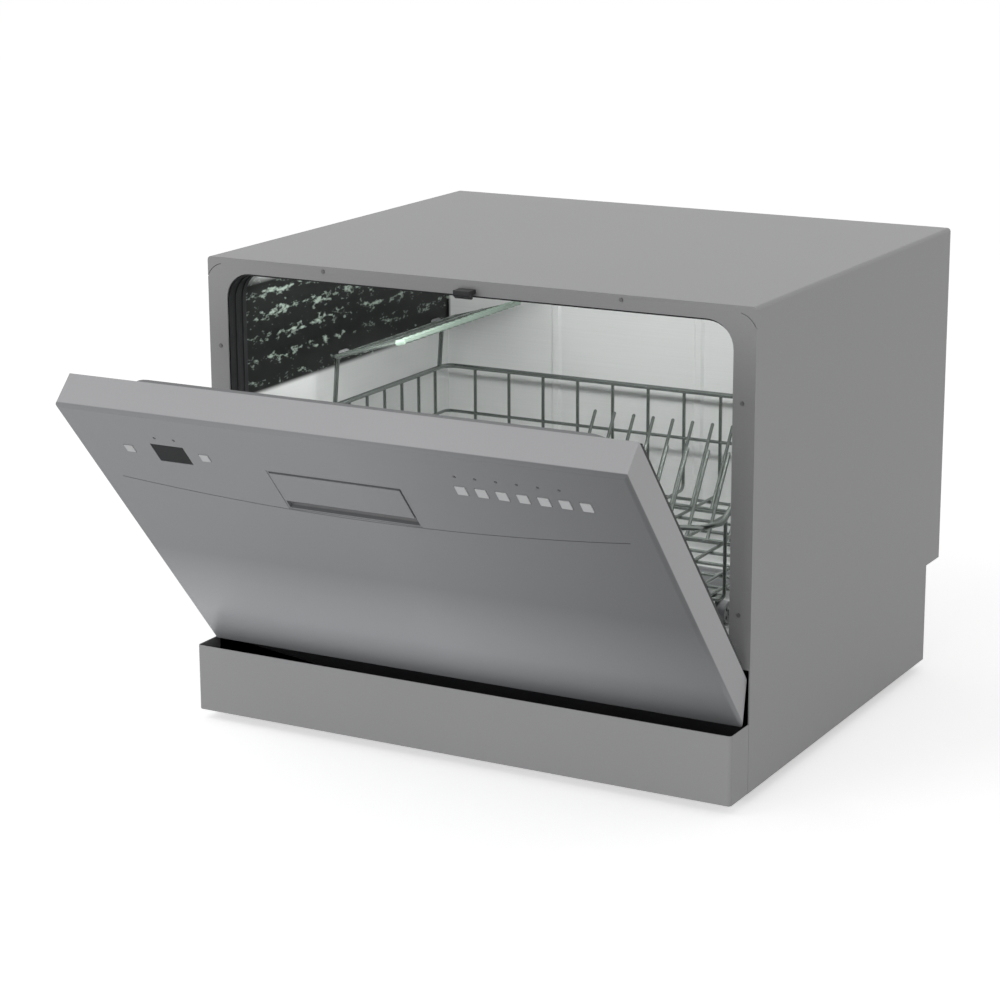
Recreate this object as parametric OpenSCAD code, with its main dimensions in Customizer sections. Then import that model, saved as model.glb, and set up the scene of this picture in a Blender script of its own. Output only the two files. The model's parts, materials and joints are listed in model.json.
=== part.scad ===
// Countertop dishwasher with a drop-down door, a wheeled dish rack and a lever handle.
// X runs to the right, Y to the back and Z up, in millimetres.
// The origin is the middle of the footprint, with the door half open as it is drawn here.

/* [Cabinet] */
// Width over the outer casing
body_w = 550; // [520:1:600]
// Height from the worktop to the top of the casing
body_h = 438; // [430:1:470]
// Depth of the cabinet behind the plane of its front frame
body_d = 463.5; // [450:0.5:500]
// Thickness of the casing sheet
sheet = 1.2; // [0.8:0.1:1.6]
// Outer radius of the casing's and plinth's bends
bend_r = 3.5; // [2:0.1:4]
// Height of the feet below the casing
foot_h = 10; // [6:1:16]
// Diameter of a foot
foot_dia = 34; // [24:1:40]
// Depth of the recess along the lower rear edge
recess_d = 35; // [25:1:45]
// Height of that recess above the worktop
recess_z = 107; // [95:1:120]
// How far the plinth stands in front of the front frame
plinth_d = 36.4; // [30:0.2:40]
// Height of the plinth's upper edge
plinth_z = 73.5; // [66:0.5:74]

/* [Front frame] */
// Width of the folded frame at each side
frame_side = 20.5; // [16:0.5:24]
// Height of the folded frame along the top
frame_top = 13.5; // [12:0.5:16]
// Corner radius of the opening
opening_r = 25; // [15:1:40]
// Height where the side frames end above the hinges
frame_end_z = 122; // [120:1:124]

/* [Tub] */
// How far the tub's inner faces stand back behind the edge of the opening
tub_over = 2.5; // [2:0.1:3]
// Inner depth of the tub from the front frame
tub_d = 410; // [400:1:420]
// Height of the ledges the wheels roll on
ledge_z = 145; // [145:0.5:146]
// Height of the washing basin's floor
basin_z = 119; // [117:0.5:121]
// Inner width of the washing basin between the ledges
basin_w = 424; // [410:1:430]
// Sheet thickness of the tub
tub_t = 1; // [0.6:0.1:1.4]
// Corner radius of the tub
tub_r = 28; // [15:1:40]
// Height of the front sill
sill_z = 126; // [122:1:130]

/* [Door] */
// Thickness of the door
door_t = 33; // [30:0.5:34]
// Gap between the closed door and the front frame
door_gap = 3.4; // [2.8:0.1:4]
// Drop from the casing's top to the closed door's front upper edge
door_drop = 4.4; // [3:0.2:6]
// Height of the closed door's front lower edge
door_low_z = 78.6; // [77:0.2:84]
// Wall thickness of the door panel
door_wall = 2.5; // [2:0.1:3]
// How far the door is open from closed, as drawn
door_open = 40; // [0:1:90]
// Distance of the hinge line in front of the front frame
hinge_out = 15; // [14:0.5:17]
// Height of the hinge line
hinge_z = 113; // [112:0.5:114]
// Radius of the hinge pins
hinge_pin_r = 4; // [3:0.1:4.5]
// Distance of each hinge plate's middle from the outer side
hinge_inset = 11.5; // [11:0.1:12]
// Distance of the raised inner pan from the edges of the opening
pan_gap = 16.5; // [15:0.5:20]
// How far the inner pan reaches behind the front frame's plane
pan_in = 17; // [12:0.5:17]

/* [Controls] */
// Width of a push button
button_w = 10; // [8:0.5:12]
// Height of a push button
button_h = 11; // [8:0.5:12]
// Spacing of the row of buttons
button_pitch = 18.9; // [17:0.1:20]
// Travel of a push button
button_travel = 1; // [0.6:0.1:1.2]
// Width of the handle lever
handle_w = 128; // [100:1:140]
// Height of the handle lever
handle_h = 40; // [32:1:44]
// Distance of the handle's middle from the centre plane
handle_x = -15.5; // [-20:0.5:20]

/* [Rack] */
// Width of the dish rack
rack_w = 470; // [450:1:474]
// Depth of the dish rack
rack_d = 370; // [340:1:374]
// Height of the rack's bottom wires
rack_z = 168.5; // [168:0.5:172]
// Height of the rack's front rim
rim_front_z = 240; // [225:1:250]
// Height of the rack's side and rear rim
rim_rear_z = 272; // [262:1:280]
// Radius of the rim wire
rim_r = 2.5; // [2:0.1:3]
// Radius of the other wires
wire_r = 1.7; // [1.4:0.1:2]
// Radius of a rack wheel
wheel_r = 10; // [8:0.5:10]
// How far the rack comes forward while the door opens to the angle drawn
rack_lead = 30; // [15:1:30]
// Spacing of the plate tines
tine_pitch = 21.5; // [18:0.5:26]
// Length of a plate tine
tine_len = 88; // [60:1:92]
// Lean of the plate tines towards the back
tine_lean = 33; // [20:1:38]

/* [Spray arm] */
// Length of the spray arm over both ends
arm_len = 360; // [300:2:364]
// Thickness of the spray arm
arm_t = 9; // [7:0.5:10]
// Radius of the hub the arm turns on
hub_r = 10; // [8:0.5:12]

/* [Services] */
// Radius over the inlet's thread
inlet_r = 13.2; // [13:0.1:13.4]
// Radius of the drain spigot
drain_r = 10; // [9:0.5:11]
// Radius of the cord gland's bore
gland_r = 4.2; // [3.5:0.1:5]

/* [Hidden] */
$fn = 48;

steel = [0.62, 0.62, 0.63];
bright = [0.75, 0.76, 0.75];
black = [0.08, 0.08, 0.085];
grey = [0.45, 0.46, 0.47];
white = [0.86, 0.87, 0.86];
eps = 0.01;
run_gap = 0.05;
fit_gap = 0.3;

half_w = body_w / 2;
opening_half = half_w - frame_side;
opening_top = body_h - frame_top;
tub_half = opening_half + tub_over;
tub_top_z = opening_top + tub_over;
basin_half = basin_w / 2;
pan_half = opening_half - pan_gap;
hinge_x = half_w - hinge_inset;
door_top_z = body_h - door_drop;

// The door's section in its closed place, as distances from the front frame and heights.
door_front = -(door_gap + door_t);
door_rear = -door_gap;
door_half = half_w - 2.5;
door_rise = 3.4;
door_edge_r = 3;
door_bevel_z = door_low_z + 26.4;
edge_centre_y = door_front + door_edge_r;
edge_centre_z = door_top_z - door_edge_r;

// The front plane lies where the door, as drawn, and the cabinet's back are equally far off.
open_cos = cos(door_open);
open_sin = sin(door_open);
door_tip = -hinge_out + (edge_centre_y + hinge_out) * open_cos
    - (edge_centre_z - hinge_z) * open_sin - door_edge_r;
front_y = -(min(door_tip, door_front) + body_d) / 2;
back_y = front_y + body_d;
hinge_y = front_y - hinge_out;

// The inner pan stays a named clearance above the ledges and below the gasket.
pan_low_z = ledge_z + 3;
pan_top_z = opening_top - pan_gap + 4;
pan_r = 24;

function arc(cx, cy, r, a0, a1, n) =
    [for (i = [0:n]) [cx + r * cos(a0 + (a1 - a0) * i / n), cy + r * sin(a0 + (a1 - a0) * i / n)]];

// ---- shared shapes ----

// A rectangle with round corners, centred on X, from height z0 to z1.
module round_rect(half, z0, z1, r) {
    polygon(concat(
        arc(half - r, z1 - r, r, 0, 90, 8),
        arc(-half + r, z1 - r, r, 90, 180, 8),
        arc(-half + r, z0 + r, r, 180, 270, 8),
        arc(half - r, z0 + r, r, 270, 360, 8)
    ));
}

// A front view drawn in X and Z, given depth from d0 to d1 behind the front frame.
module slab(d0, d1) {
    translate([0, front_y + d1, 0])
        rotate([90, 0, 0])
            linear_extrude(d1 - d0)
                children();
}

// A side view drawn in depth and height, given width from x0 to x1.
module side_slab(x0, x1) {
    translate([x0, front_y, 0])
        rotate([90, 0, 90])
            linear_extrude(x1 - x0)
                children();
}

// A block from one corner to the other, its Y measured from the front frame.
module block(x0, x1, d0, d1, z0, z1) {
    translate([x0, front_y + d0, z0])
        cube([x1 - x0, d1 - d0, z1 - z0]);
}

// A round bar along X, Y or Z.
module bar_x(x0, x1, d, z, r) {
    translate([x0, front_y + d, z])
        rotate([0, 90, 0])
            cylinder(h = x1 - x0, r = r);
}

module bar_y(x, d0, d1, z, r) {
    translate([x, front_y + d0, z])
        rotate([-90, 0, 0])
            cylinder(h = d1 - d0, r = r);
}

module bar_z(x, d, z0, z1, r) {
    translate([x, front_y + d, z0])
        cylinder(h = z1 - z0, r = r);
}

module both_sides() {
    children();
    mirror([1, 0, 0])
        children();
}

// Puts what is drawn on the closed door where the open door carries it.
module on_door() {
    translate([0, hinge_y, hinge_z])
        rotate([door_open, 0, 0])
            translate([0, -hinge_y, -hinge_z])
                children();
}

// A pan-head screw along Y, its head towards the front.
module screw_y(x, d, z, r, len) {
    bar_y(x, d - 1.4, d, z, r * 1.9);
    bar_y(x, d - eps, d + len, z, r);
}

// A wire through a list of points. Each straight runs on past its ends by the wire's radius,
// so that the straights are welded at the bends.
module wire(points, r) {
    for (i = [0:len(points) - 2]) {
        step = points[i + 1] - points[i];
        len_step = norm(step);
        translate(points[i])
            rotate([0, acos(step[2] / len_step), atan2(step[1], step[0])])
                translate([0, 0, -0.7 * r])
                    cylinder(h = len_step + 1.4 * r, r = r, $fn = 8);
    }
}

// ---- cabinet ----

casing_low_z = foot_h;
casing_inner = half_w - sheet;

module casing_side_view() {
    polygon([
        [0, casing_low_z],
        [body_d - recess_d, casing_low_z],
        [body_d - recess_d, recess_z],
        [body_d, recess_z],
        [body_d, body_h],
        [0, body_h]
    ]);
}

// Outline that is rounded at its two upper corners.
module bent_sheet(half, z0, z1, r) {
    polygon(concat(
        [[-half, z0], [half, z0]],
        arc(half - r, z1 - r, r, 0, 90, 6),
        arc(-half + r, z1 - r, r, 90, 180, 6)
    ));
}

frame_screw_x = 149.6;
frame_screw_z = body_h - 4.6;
side_screw_x = half_w - frame_side / 2 - 1.6;
side_screw_z = [355, 170];
rear_screw_z = body_h - 20;
rear_screw_x = half_w - 22;
screw_r = 1.8;

module frame_screw_places() {
    for (side = [-1, 1]) {
        translate([side * frame_screw_x, 0, frame_screw_z])
            children();
        for (z = side_screw_z)
            translate([side * side_screw_x, 0, z])
                children();
    }
}

// Top and sides bent from one sheet, with a folded frame round the front opening.
module outer_casing() {
    color(steel)
    difference() {
        union() {
            intersection() {
                difference() {
                    slab(0, body_d)
                        bent_sheet(half_w, casing_low_z, body_h, bend_r);
                    slab(-1, body_d + 1)
                        bent_sheet(casing_inner, 0, body_h - sheet, bend_r - sheet);
                }
                side_slab(-half_w, half_w)
                    casing_side_view();
            }
            slab(0, sheet)
                difference() {
                    translate([-casing_inner - eps, frame_end_z])
                        square([2 * (casing_inner + eps), body_h - sheet + eps - frame_end_z]);
                    round_rect(opening_half, 0, opening_top, opening_r);
                }
        }
        // The folded frames part along a curved split at each upper corner.
        both_sides()
            slab(-1, sheet + 1)
                translate([opening_half + 2, opening_top - 12])
                    intersection() {
                        difference() {
                            circle(r = 20);
                            circle(r = 19.5);
                        }
                        translate([4, 4])
                            square([30, 30]);
                    }
        frame_screw_places()
            translate([0, front_y - 1, 0])
                rotate([-90, 0, 0])
                    cylinder(h = 4, r = screw_r + 0.1);
    }
}

// Back cover folded round the recess along the lower edge.
inlet_x = half_w - 70;
drain_x = half_w - 115;
gland_x = 70 - half_w;
service_z = 62;
rear_in = body_d - sheet;

module rear_panel() {
    color(steel)
    difference() {
        side_slab(-casing_inner + 0.2, casing_inner - 0.2)
            polygon([
                [rear_in - recess_d, casing_low_z + 1],
                [body_d - recess_d, casing_low_z + 1],
                [body_d - recess_d, recess_z],
                [body_d, recess_z],
                [body_d, body_h - sheet],
                [rear_in, body_h - sheet],
                [rear_in, recess_z + sheet],
                [rear_in - recess_d, recess_z + sheet]
            ]);
        bar_y(inlet_x, rear_in - recess_d - 1, body_d - recess_d + 1, service_z, inlet_r + fit_gap);
        bar_y(drain_x, rear_in - recess_d - 1, body_d - recess_d + 1, service_z, drain_r + fit_gap);
        bar_y(gland_x, rear_in - recess_d - 1, body_d - recess_d + 1, service_z, gland_r + 4 + fit_gap);
        // Vent slots near the top
        for (i = [-4:4], row = [0:2])
            block(i * 34 - 11, i * 34 + 11, rear_in - 1, body_d + 1,
                rear_screw_z - 40 - row * 14, rear_screw_z - 34 - row * 14);
        for (side = [-1, 1])
            bar_y(side * rear_screw_x, rear_in - 1, body_d + 1, rear_screw_z, screw_r + 0.1);
    }
}

base_in = hinge_x + 1.5;
base_t = 3;
base_top = 72;
base_front = 4;
base_rear = rear_in - recess_d;

// Plastic tray that everything below the tub stands in.
module base_tray() {
    color(black)
    difference() {
        block(-casing_inner, casing_inner, base_front, base_rear, casing_low_z, base_top - 4);
        block(-base_in, base_in, base_front + base_t, base_rear - base_t,
            casing_low_z + base_t, base_top + 1);
        for (side = [-1, 1], d = [foot_front, foot_rear])
            bar_z(side * foot_x, d, casing_low_z - 1, casing_low_z + base_t + 1, foot_stem_r + 0.1);
        bar_y(inlet_x, base_rear - base_t - 1, base_rear + 1, service_z, inlet_r + fit_gap);
        bar_y(drain_x, base_rear - base_t - 1, base_rear + 1, service_z, drain_r + fit_gap);
        bar_y(gland_x, base_rear - base_t - 1, base_rear + 1, service_z, gland_r + 4 + fit_gap);
    }
}

// Folded plinth in front of the base, open at the back.
module plinth() {
    color(steel)
    difference() {
        plinth_bend(half_w, plinth_d, 0, casing_low_z, bend_r);
        plinth_bend(casing_inner, plinth_d - sheet, 1, casing_low_z + sheet, bend_r - sheet);
    }
}

// Seen from above, the front corners are rounded.
module plinth_bend(half, out, back, z0, r) {
    translate([0, front_y, z0])
        linear_extrude(plinth_z - casing_low_z)
            polygon(concat(
                [[half, back], [-half, back]],
                arc(-half + r, -out + r, r, 180, 270, 6),
                arc(half - r, -out + r, r, 270, 360, 6)
            ));
}

foot_x = half_w - 40;
foot_front = 34;
foot_rear = body_d - recess_d - 40;
foot_stem_r = 5;

module feet() {
    color(black)
    for (side = [-1, 1], d = [foot_front, foot_rear]) {
        translate([side * foot_x, front_y + d, 0])
            cylinder(h = foot_h, r1 = foot_dia / 2 - 2, r2 = foot_dia / 2);
        bar_z(side * foot_x, d, foot_h - eps, foot_h + base_t + 4, foot_stem_r);
    }
}

module casing_screws() {
    color(bright) {
        frame_screw_places()
            translate([0, front_y, 0])
                rotate([-90, 0, 0]) {
                    translate([0, 0, -1.4])
                        cylinder(h = 1.4, r = screw_r * 1.9);
                    translate([0, 0, -eps])
                        cylinder(h = 9, r = screw_r);
                }
        for (side = [-1, 1])
            translate([side * rear_screw_x, back_y - 1.2, rear_screw_z])
                rotate([90, 0, 0])
                    cylinder(h = 8, r = screw_r);
        for (side = [-1, 1])
            translate([side * rear_screw_x, back_y, rear_screw_z])
                rotate([90, 0, 0])
                    cylinder(h = 1.3, r = screw_r);
    }
}

// ---- tub ----

arm_d = tub_d / 2 + 3;
salt_x = -140;
salt_d = 100;
salt_r = 30;
filter_x = 110;
filter_d = 110;
filter_r = 40;
tub_front = sheet;
flange_half = side_screw_x + 4;

rib_x = [-128, 34];
rib_w = 12;
rib_out = 2.5;

// Ribs pressed forwards in the back wall, with sloping flanks.
module tub_ribs() {
    for (x = rib_x)
        translate([x, front_y + tub_d, ledge_z + 6])
            linear_extrude(tub_top_z - ledge_z - 40)
                polygon([[-rib_w / 2, 0.2], [-rib_w / 4, -rib_out], [rib_w / 4, -rib_out], [rib_w / 2, 0.2]]);
}

// Cross-section of the tub's space, grown by e all round.
module tub_section(e) {
    round_rect(tub_half + e, ledge_z - e, tub_top_z + e, tub_r + e);
    // The ledges meet the side walls in a plain corner.
    translate([-tub_half - e, ledge_z - e])
        square([2 * (tub_half + e), tub_r + 10]);
}

module tub_cavity(e) {
    slab(tub_front + (e > 0 ? 0 : -1), tub_d + e)
        tub_section(e);
    block(-basin_half - e, basin_half + e, tub_front + tub_t + 8 - e, tub_d - 12 + e,
        basin_z - e, ledge_z + 5);
}

// Tub with ledges, basin, front flange and holes for the hub, filter and salt neck.
module tub() {
    color(bright) {
        tub_ribs();
        difference() {
            union() {
                tub_cavity(tub_t);
                tub_flanges();
            }
            tub_cavity(0);
            block(-basin_half, basin_half, tub_front - 1, tub_front + tub_t + 9, sill_z, ledge_z + 5);
            // The sill is bent sheet, open below
            block(-basin_half, basin_half, tub_front + tub_t, tub_front + 8, basin_z - tub_t - 1,
                sill_z - tub_t);
            tub_holes();
        }
    }
}

// Flange behind the frame, lower flange and sill.
module tub_flanges() {
    slab(tub_front, tub_front + tub_t) {
        translate([-flange_half, frame_end_z + 2])
            square([2 * flange_half, frame_screw_z + 2.4 - frame_end_z - 2]);
        translate([-tub_half - 2.5, basin_z - tub_t])
            square([2 * tub_half + 5, 12]);
    }
    block(-basin_half - tub_t, basin_half + tub_t, tub_front, tub_front + tub_t + 9,
        basin_z - tub_t, sill_z);
}

module tub_holes() {
    frame_screw_places()
        translate([0, front_y, 0])
            rotate([-90, 0, 0])
                cylinder(h = 6, r = screw_r + 0.1);
    bar_z(0, arm_d, basin_z - 5, basin_z + 5, hub_r + 6);
    bar_z(salt_x, salt_d, basin_z - 5, basin_z + 5, salt_r + 0.2);
    bar_z(filter_x, filter_d, basin_z - 5, basin_z + 5, filter_r + 0.2);
    heater_ends()
        translate([0, 0, basin_z - 5])
            cylinder(h = 10, r = sleeve_r + 0.2);
}

gasket_d = 3;
gasket_len = 28;
gasket_lip = 2;
lip_groove = 1;

// Rubber profile round the top and sides of the tub's mouth.
module tub_gasket() {
    color(black)
    difference() {
        slab(gasket_d, gasket_d + gasket_len)
            intersection() {
                round_rect(tub_half - 0.2, 0, tub_top_z - 0.2, tub_r - 0.2);
                translate([-body_w, ledge_z + 0.2])
                    square([2 * body_w, body_h]);
            }
        slab(gasket_d - 1, gasket_d + gasket_len + 1)
            round_rect(opening_half, 0, opening_top - gasket_lip, tub_r - tub_over);
        // Two grooves leave three lips
        for (d = [gasket_d + 5, gasket_d + 16])
            slab(d, d + 6)
                round_rect(opening_half + lip_groove, 0, opening_top - gasket_lip + lip_groove,
                    tub_r - tub_over + lip_groove);
    }
}

module sill_seal() {
    color(black)
    side_slab(-basin_half + 2, basin_half - 2)
        polygon([
            [tub_front + 1, sill_z],
            [tub_front + 8, sill_z],
            [tub_front + 8, sill_z + 3],
            [tub_front + 4, sill_z + 5],
            [tub_front + 1, sill_z + 3]
        ]);
}

catch_half = 8.5;
catch_z = opening_top - 2;
catch_out = 12;

// Strike that the closed door's pawl holds.
module door_catch() {
    color(black)
    side_slab(-catch_half, catch_half)
        polygon([
            [0, catch_z + 8],
            [-catch_out, catch_z + 8],
            [-catch_out, catch_z + 3],
            [-catch_out + 4, catch_z],
            [-catch_out + 7, catch_z],
            [-catch_out + 7, catch_z + 4],
            [0, catch_z + 4]
        ]);
}

bracket_t = 3;
bracket_in = hinge_x - bracket_t / 2;
bracket_out = hinge_x + bracket_t / 2;
eye_r = 8;

// Steel plates that stand on the base and carry the door's pins.
module hinge_brackets() {
    color(grey)
    both_sides()
        difference() {
            side_slab(bracket_in, bracket_out)
                union() {
                    translate([-hinge_out, hinge_z])
                        circle(r = eye_r);
                    translate([-hinge_out, hinge_z - eye_r])
                        square([hinge_out + 70, 2 * eye_r]);
                    translate([27, casing_low_z + base_t])
                        square([43, hinge_z - casing_low_z - base_t]);
                }
            bar_x(bracket_in - 1, bracket_out + 1, -hinge_out, hinge_z, hinge_pin_r + run_gap);
        }
}

spring_r = hinge_pin_r + 3;
spring_in = bracket_in - 6;

// Counterbalance springs round the hinge pins, each with a leg on its bracket.
module hinge_springs() {
    color(bright)
    both_sides()
        difference() {
            union() {
                bar_x(spring_in, bracket_in, -hinge_out, hinge_z, spring_r);
                block(bracket_in - 2, bracket_in, -hinge_out, 24, hinge_z + spring_r - 2, hinge_z + spring_r);
            }
            bar_x(spring_in - 1, bracket_in + 1, -hinge_out, hinge_z, hinge_pin_r + 0.4);
        }
}

// ---- wash system below the tub ----

tub_under = basin_z - tub_t;
floor_z = casing_low_z + base_t;

module sump() {
    color(black)
    difference() {
        union() {
            bar_z(filter_x, filter_d, floor_z + 12, tub_under, filter_r + 4);
            bar_z(filter_x, filter_d, floor_z, floor_z + 13, 14);
            bar_y(filter_x, filter_d + filter_r - 2, filter_d + filter_r + 62, pump_z, 11);
        }
        bar_z(filter_x, filter_d, floor_z + 15, tub_under + 1, filter_r + 1);
        bar_y(filter_x, filter_d + filter_r - 6, filter_d + filter_r + 70, pump_z, 8);
    }
}

pump_z = 62;
pump_d = filter_d + filter_r + 88;
pump_r = 26;
volute_len = 30;
volute_x = filter_x + volute_len / 2;

// Motor and volute, lying along X, with the inlet and outlet on the volute.
module circulation_pump() {
    color(grey) {
        difference() {
            union() {
                bar_x(volute_x - volute_len, volute_x, pump_d, pump_z, pump_r);
                bar_x(volute_x - volute_len - 90, volute_x - volute_len + eps, pump_d, pump_z, pump_r + 8);
                bar_y(filter_x, filter_d + filter_r + 62, pump_d, pump_z, 11);
                bar_z(volute_x - volute_len / 2, pump_d, pump_z, pump_z + pump_r + 10, 9);
                block(volute_x - volute_len - 80, volute_x - volute_len - 10, pump_d - 22, pump_d + 22,
                    floor_z, pump_z);
            }
            bar_x(volute_x - volute_len + 3, volute_x - 3, pump_d, pump_z, pump_r - 3);
            bar_y(filter_x, filter_d + filter_r + 60, pump_d, pump_z, 8);
            bar_z(volute_x - volute_len / 2, pump_d, pump_z, pump_z + pump_r + 11, 6);
        }
        bar_x(volute_x - volute_len, volute_x - volute_len / 2 + 2, pump_d, pump_z, 3);
    }
}

impeller_r = pump_r - 5;

module pump_impeller() {
    color(white)
    difference() {
        union() {
            bar_x(volute_x - volute_len + 4, volute_x - volute_len + 7, pump_d, pump_z, impeller_r);
            bar_x(volute_x - volute_len + 4, volute_x - volute_len + 14, pump_d, pump_z, 6);
            for (a = [0:60:300])
                translate([volute_x - volute_len + 6.9, front_y + pump_d, pump_z])
                    rotate([a, 0, 0])
                        translate([0, 5, -1])
                            cube([6, impeller_r - 6, 2]);
        }
        bar_x(volute_x - volute_len, volute_x, pump_d, pump_z, 3 + run_gap);
    }
}

// The pipe from the pump rises and runs back to the spray arm's hub.
pipe_z = pump_z + pump_r + 20;
pipe_x = volute_x - volute_len / 2;
pipe_step = [-pipe_x, arm_d - pump_d];

module wash_pipe() {
    color(black)
    difference() {
        union() {
            bar_z(pipe_x, pump_d, pump_z + pump_r + 10, pipe_z + 9, 11);
            translate([pipe_x, front_y + pump_d, pipe_z])
                rotate([0, 90, atan2(pipe_step[1], pipe_step[0])])
                    cylinder(h = norm(pipe_step), r = 8);
        }
        bar_z(pipe_x, pump_d, pump_z + pump_r + 9, pipe_z + 4, 7);
        bar_z(0, arm_d, pump_z, basin_z, hub_r + 5.8);
    }
}

module spray_hub() {
    color(black)
    difference() {
        union() {
            bar_z(0, arm_d, pump_z + pump_r + 8, tub_under, hub_r + 5.6);
            bar_z(0, arm_d, tub_under - 1, basin_z + 3, hub_r + 5.6);
            bar_z(0, arm_d, basin_z, arm_low_z + arm_t + 2, hub_r);
        }
        bar_z(0, arm_d, pump_z + pump_r + 12, arm_low_z + arm_t - 1, hub_r - 3);
    }
}

arm_low_z = basin_z + 11;
arm_half = arm_len / 2;

module arm_plan() {
    polygon([[-15, 0], [-24, 22], [-arm_half + 14, 15], [-arm_half + 14, -11], [0, -22]]);
    translate([-arm_half + 13, 2])
        circle(r = 13);
}

// Two-armed spray arm with slanted rows of nozzles.
module spray_arm() {
    color(grey)
    translate([0, front_y + arm_d, arm_low_z])
        difference() {
            linear_extrude(arm_t) {
                circle(r = 24);
                arm_plan();
                rotate(180)
                    arm_plan();
            }
            translate([0, 0, -1])
                cylinder(h = arm_t + 2, r = hub_r + run_gap);
            for (turn = [0, 180], i = [1:7])
                rotate(turn)
                    translate([-30 - i * (arm_half - 44) / 7, 3, arm_t - 3])
                        cylinder(h = 4, r = 1.4);
        }
}

// Heating tube lying round the hub, its ends in sleeves through the basin's floor.
heater_r = 3.2;
heater_ring = 90;
heater_gap = 40;
heater_lift = 2;
sleeve_r = heater_r + 1.2;

// Ends of the tube, on both sides of the middle of the back.
module heater_ends() {
    for (a = [90 - heater_gap / 2, 90 + heater_gap / 2])
        translate([heater_ring * cos(a), front_y + arm_d + heater_ring * sin(a), 0])
            children();
}

module heater() {
    color(bright) {
        translate([0, front_y + arm_d, basin_z + heater_lift + heater_r])
            rotate(90 + heater_gap / 2)
                rotate_extrude(angle = 360 - heater_gap, $fn = 96)
                    translate([heater_ring, 0])
                        circle(r = heater_r);
        heater_ends() {
            translate([0, 0, basin_z - 12])
                cylinder(h = 12 + heater_lift + 2 * heater_r + 1, r = sleeve_r);
            translate([0, 0, basin_z])
                cylinder(h = 1, r = sleeve_r + 3);
        }
    }
}

module softener() {
    color(white)
    difference() {
        union() {
            block(salt_x - 70, salt_x + 60, 40, 190, floor_z, tub_under - 12);
            bar_z(salt_x, salt_d, tub_under - 13, basin_z + 3, salt_r);
        }
        bar_z(salt_x, salt_d, tub_under - 40, basin_z + 4, salt_r - 5);
    }
}

module salt_cap() {
    color(grey)
    union() {
        bar_z(salt_x, salt_d, basin_z + 3, basin_z + 7, salt_r + 3);
        bar_z(salt_x, salt_d, basin_z - 8, basin_z + 3 + eps, salt_r - 5 - run_gap);
        block(salt_x - 22, salt_x + 22, salt_d - 3, salt_d + 3, basin_z + 7 - eps, basin_z + 9.5);
    }
}

// Cylindrical filter with a slotted wall and a grip across its rim.
module filter_cup() {
    color(grey)
    difference() {
        union() {
            bar_z(filter_x, filter_d, basin_z - 52, basin_z, filter_r - 6);
            bar_z(filter_x, filter_d, basin_z + 0.3, basin_z + 4, filter_r + 5);
            bar_z(filter_x, filter_d, basin_z - 1, basin_z + 1, filter_r - 6);
        }
        bar_z(filter_x, filter_d, basin_z - 50, basin_z + 5, filter_r - 9);
        for (a = [0:30:330], z = [-44, -24])
            translate([filter_x, front_y + filter_d, basin_z + z])
                rotate(a)
                    translate([filter_r - 12, -3, 0])
                        cube([10, 6, 16]);
    }
    color(grey)
    block(filter_x - filter_r + 8.5, filter_x + filter_r - 8.5, filter_d - 2, filter_d + 2,
        basin_z - 6, basin_z + 4);
}

drain_pump_x = drain_x + 40;
drain_pump_d = 260;
drain_pump_len = 70;
drain_pump_r = 24;
drain_foot = 20;

module drain_pump() {
    color(grey) {
        bar_y(drain_pump_x, drain_pump_d, drain_pump_d + drain_pump_len, pump_z, drain_pump_r);
        block(drain_pump_x - drain_foot, drain_pump_x + drain_foot, drain_pump_d + drain_foot / 2,
            drain_pump_d + drain_pump_len - drain_foot / 2, floor_z, pump_z);
        bar_y(drain_pump_x, drain_pump_d + drain_pump_len - eps, drain_pump_d + drain_pump_len + 15,
            pump_z, drain_pump_r - 10);
    }
}

service_out = body_d - recess_d;
neck_gap = 1.2;
spigot_len = 20;
thread_len = 14;
shoulder_t = 3;

// Barbed pipe end for the drain hose, with a shoulder outside the rear sheet.
module drain_spigot() {
    color(black)
    difference() {
        union() {
            bar_y(drain_x, base_rear - 14, service_out + eps, service_z, drain_r - neck_gap);
            bar_y(drain_x, base_rear - base_t - 5, base_rear - base_t, service_z, drain_r + 4);
            bar_y(drain_x, service_out, service_out + shoulder_t, service_z, drain_r + 3);
            bar_y(drain_x, service_out + shoulder_t - eps, service_out + shoulder_t + spigot_len, service_z,
                drain_r);
        }
        bar_y(drain_x, base_rear - 10, service_out + 40, service_z, drain_r - 3.5);
    }
}

// Solenoid valve with its threaded inlet outside the rear sheet.
module inlet_valve() {
    color(white)
    difference() {
        union() {
            block(inlet_x - 20, inlet_x + 20, base_rear - base_t - 45, base_rear - base_t, service_z - 18,
                service_z + 22);
            block(inlet_x - 12, inlet_x + 12, base_rear - base_t - 40, base_rear - base_t - 16, floor_z,
                service_z);
            bar_y(inlet_x, base_rear - base_t - eps, service_out + eps, service_z, inlet_r - neck_gap);
            bar_y(inlet_x, service_out, service_out + shoulder_t, service_z, inlet_r + 3);
            bar_y(inlet_x, service_out + shoulder_t - eps, service_out + shoulder_t + thread_len, service_z,
                inlet_r);
        }
        bar_y(inlet_x, base_rear - base_t, service_out + 40, service_z, inlet_r - 4);
    }
}

module cord_gland() {
    color(black)
    difference() {
        union() {
            bar_y(gland_x, base_rear - 8, body_d - recess_d + 2, service_z, gland_r + 4);
            bar_y(gland_x, body_d - recess_d, body_d - recess_d + 4, service_z, gland_r + 7);
            bar_y(gland_x, base_rear - base_t - 4, base_rear - base_t, service_z, gland_r + 7);
        }
        bar_y(gland_x, base_rear - 12, body_d - recess_d + 5, service_z, gland_r);
    }
}

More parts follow.
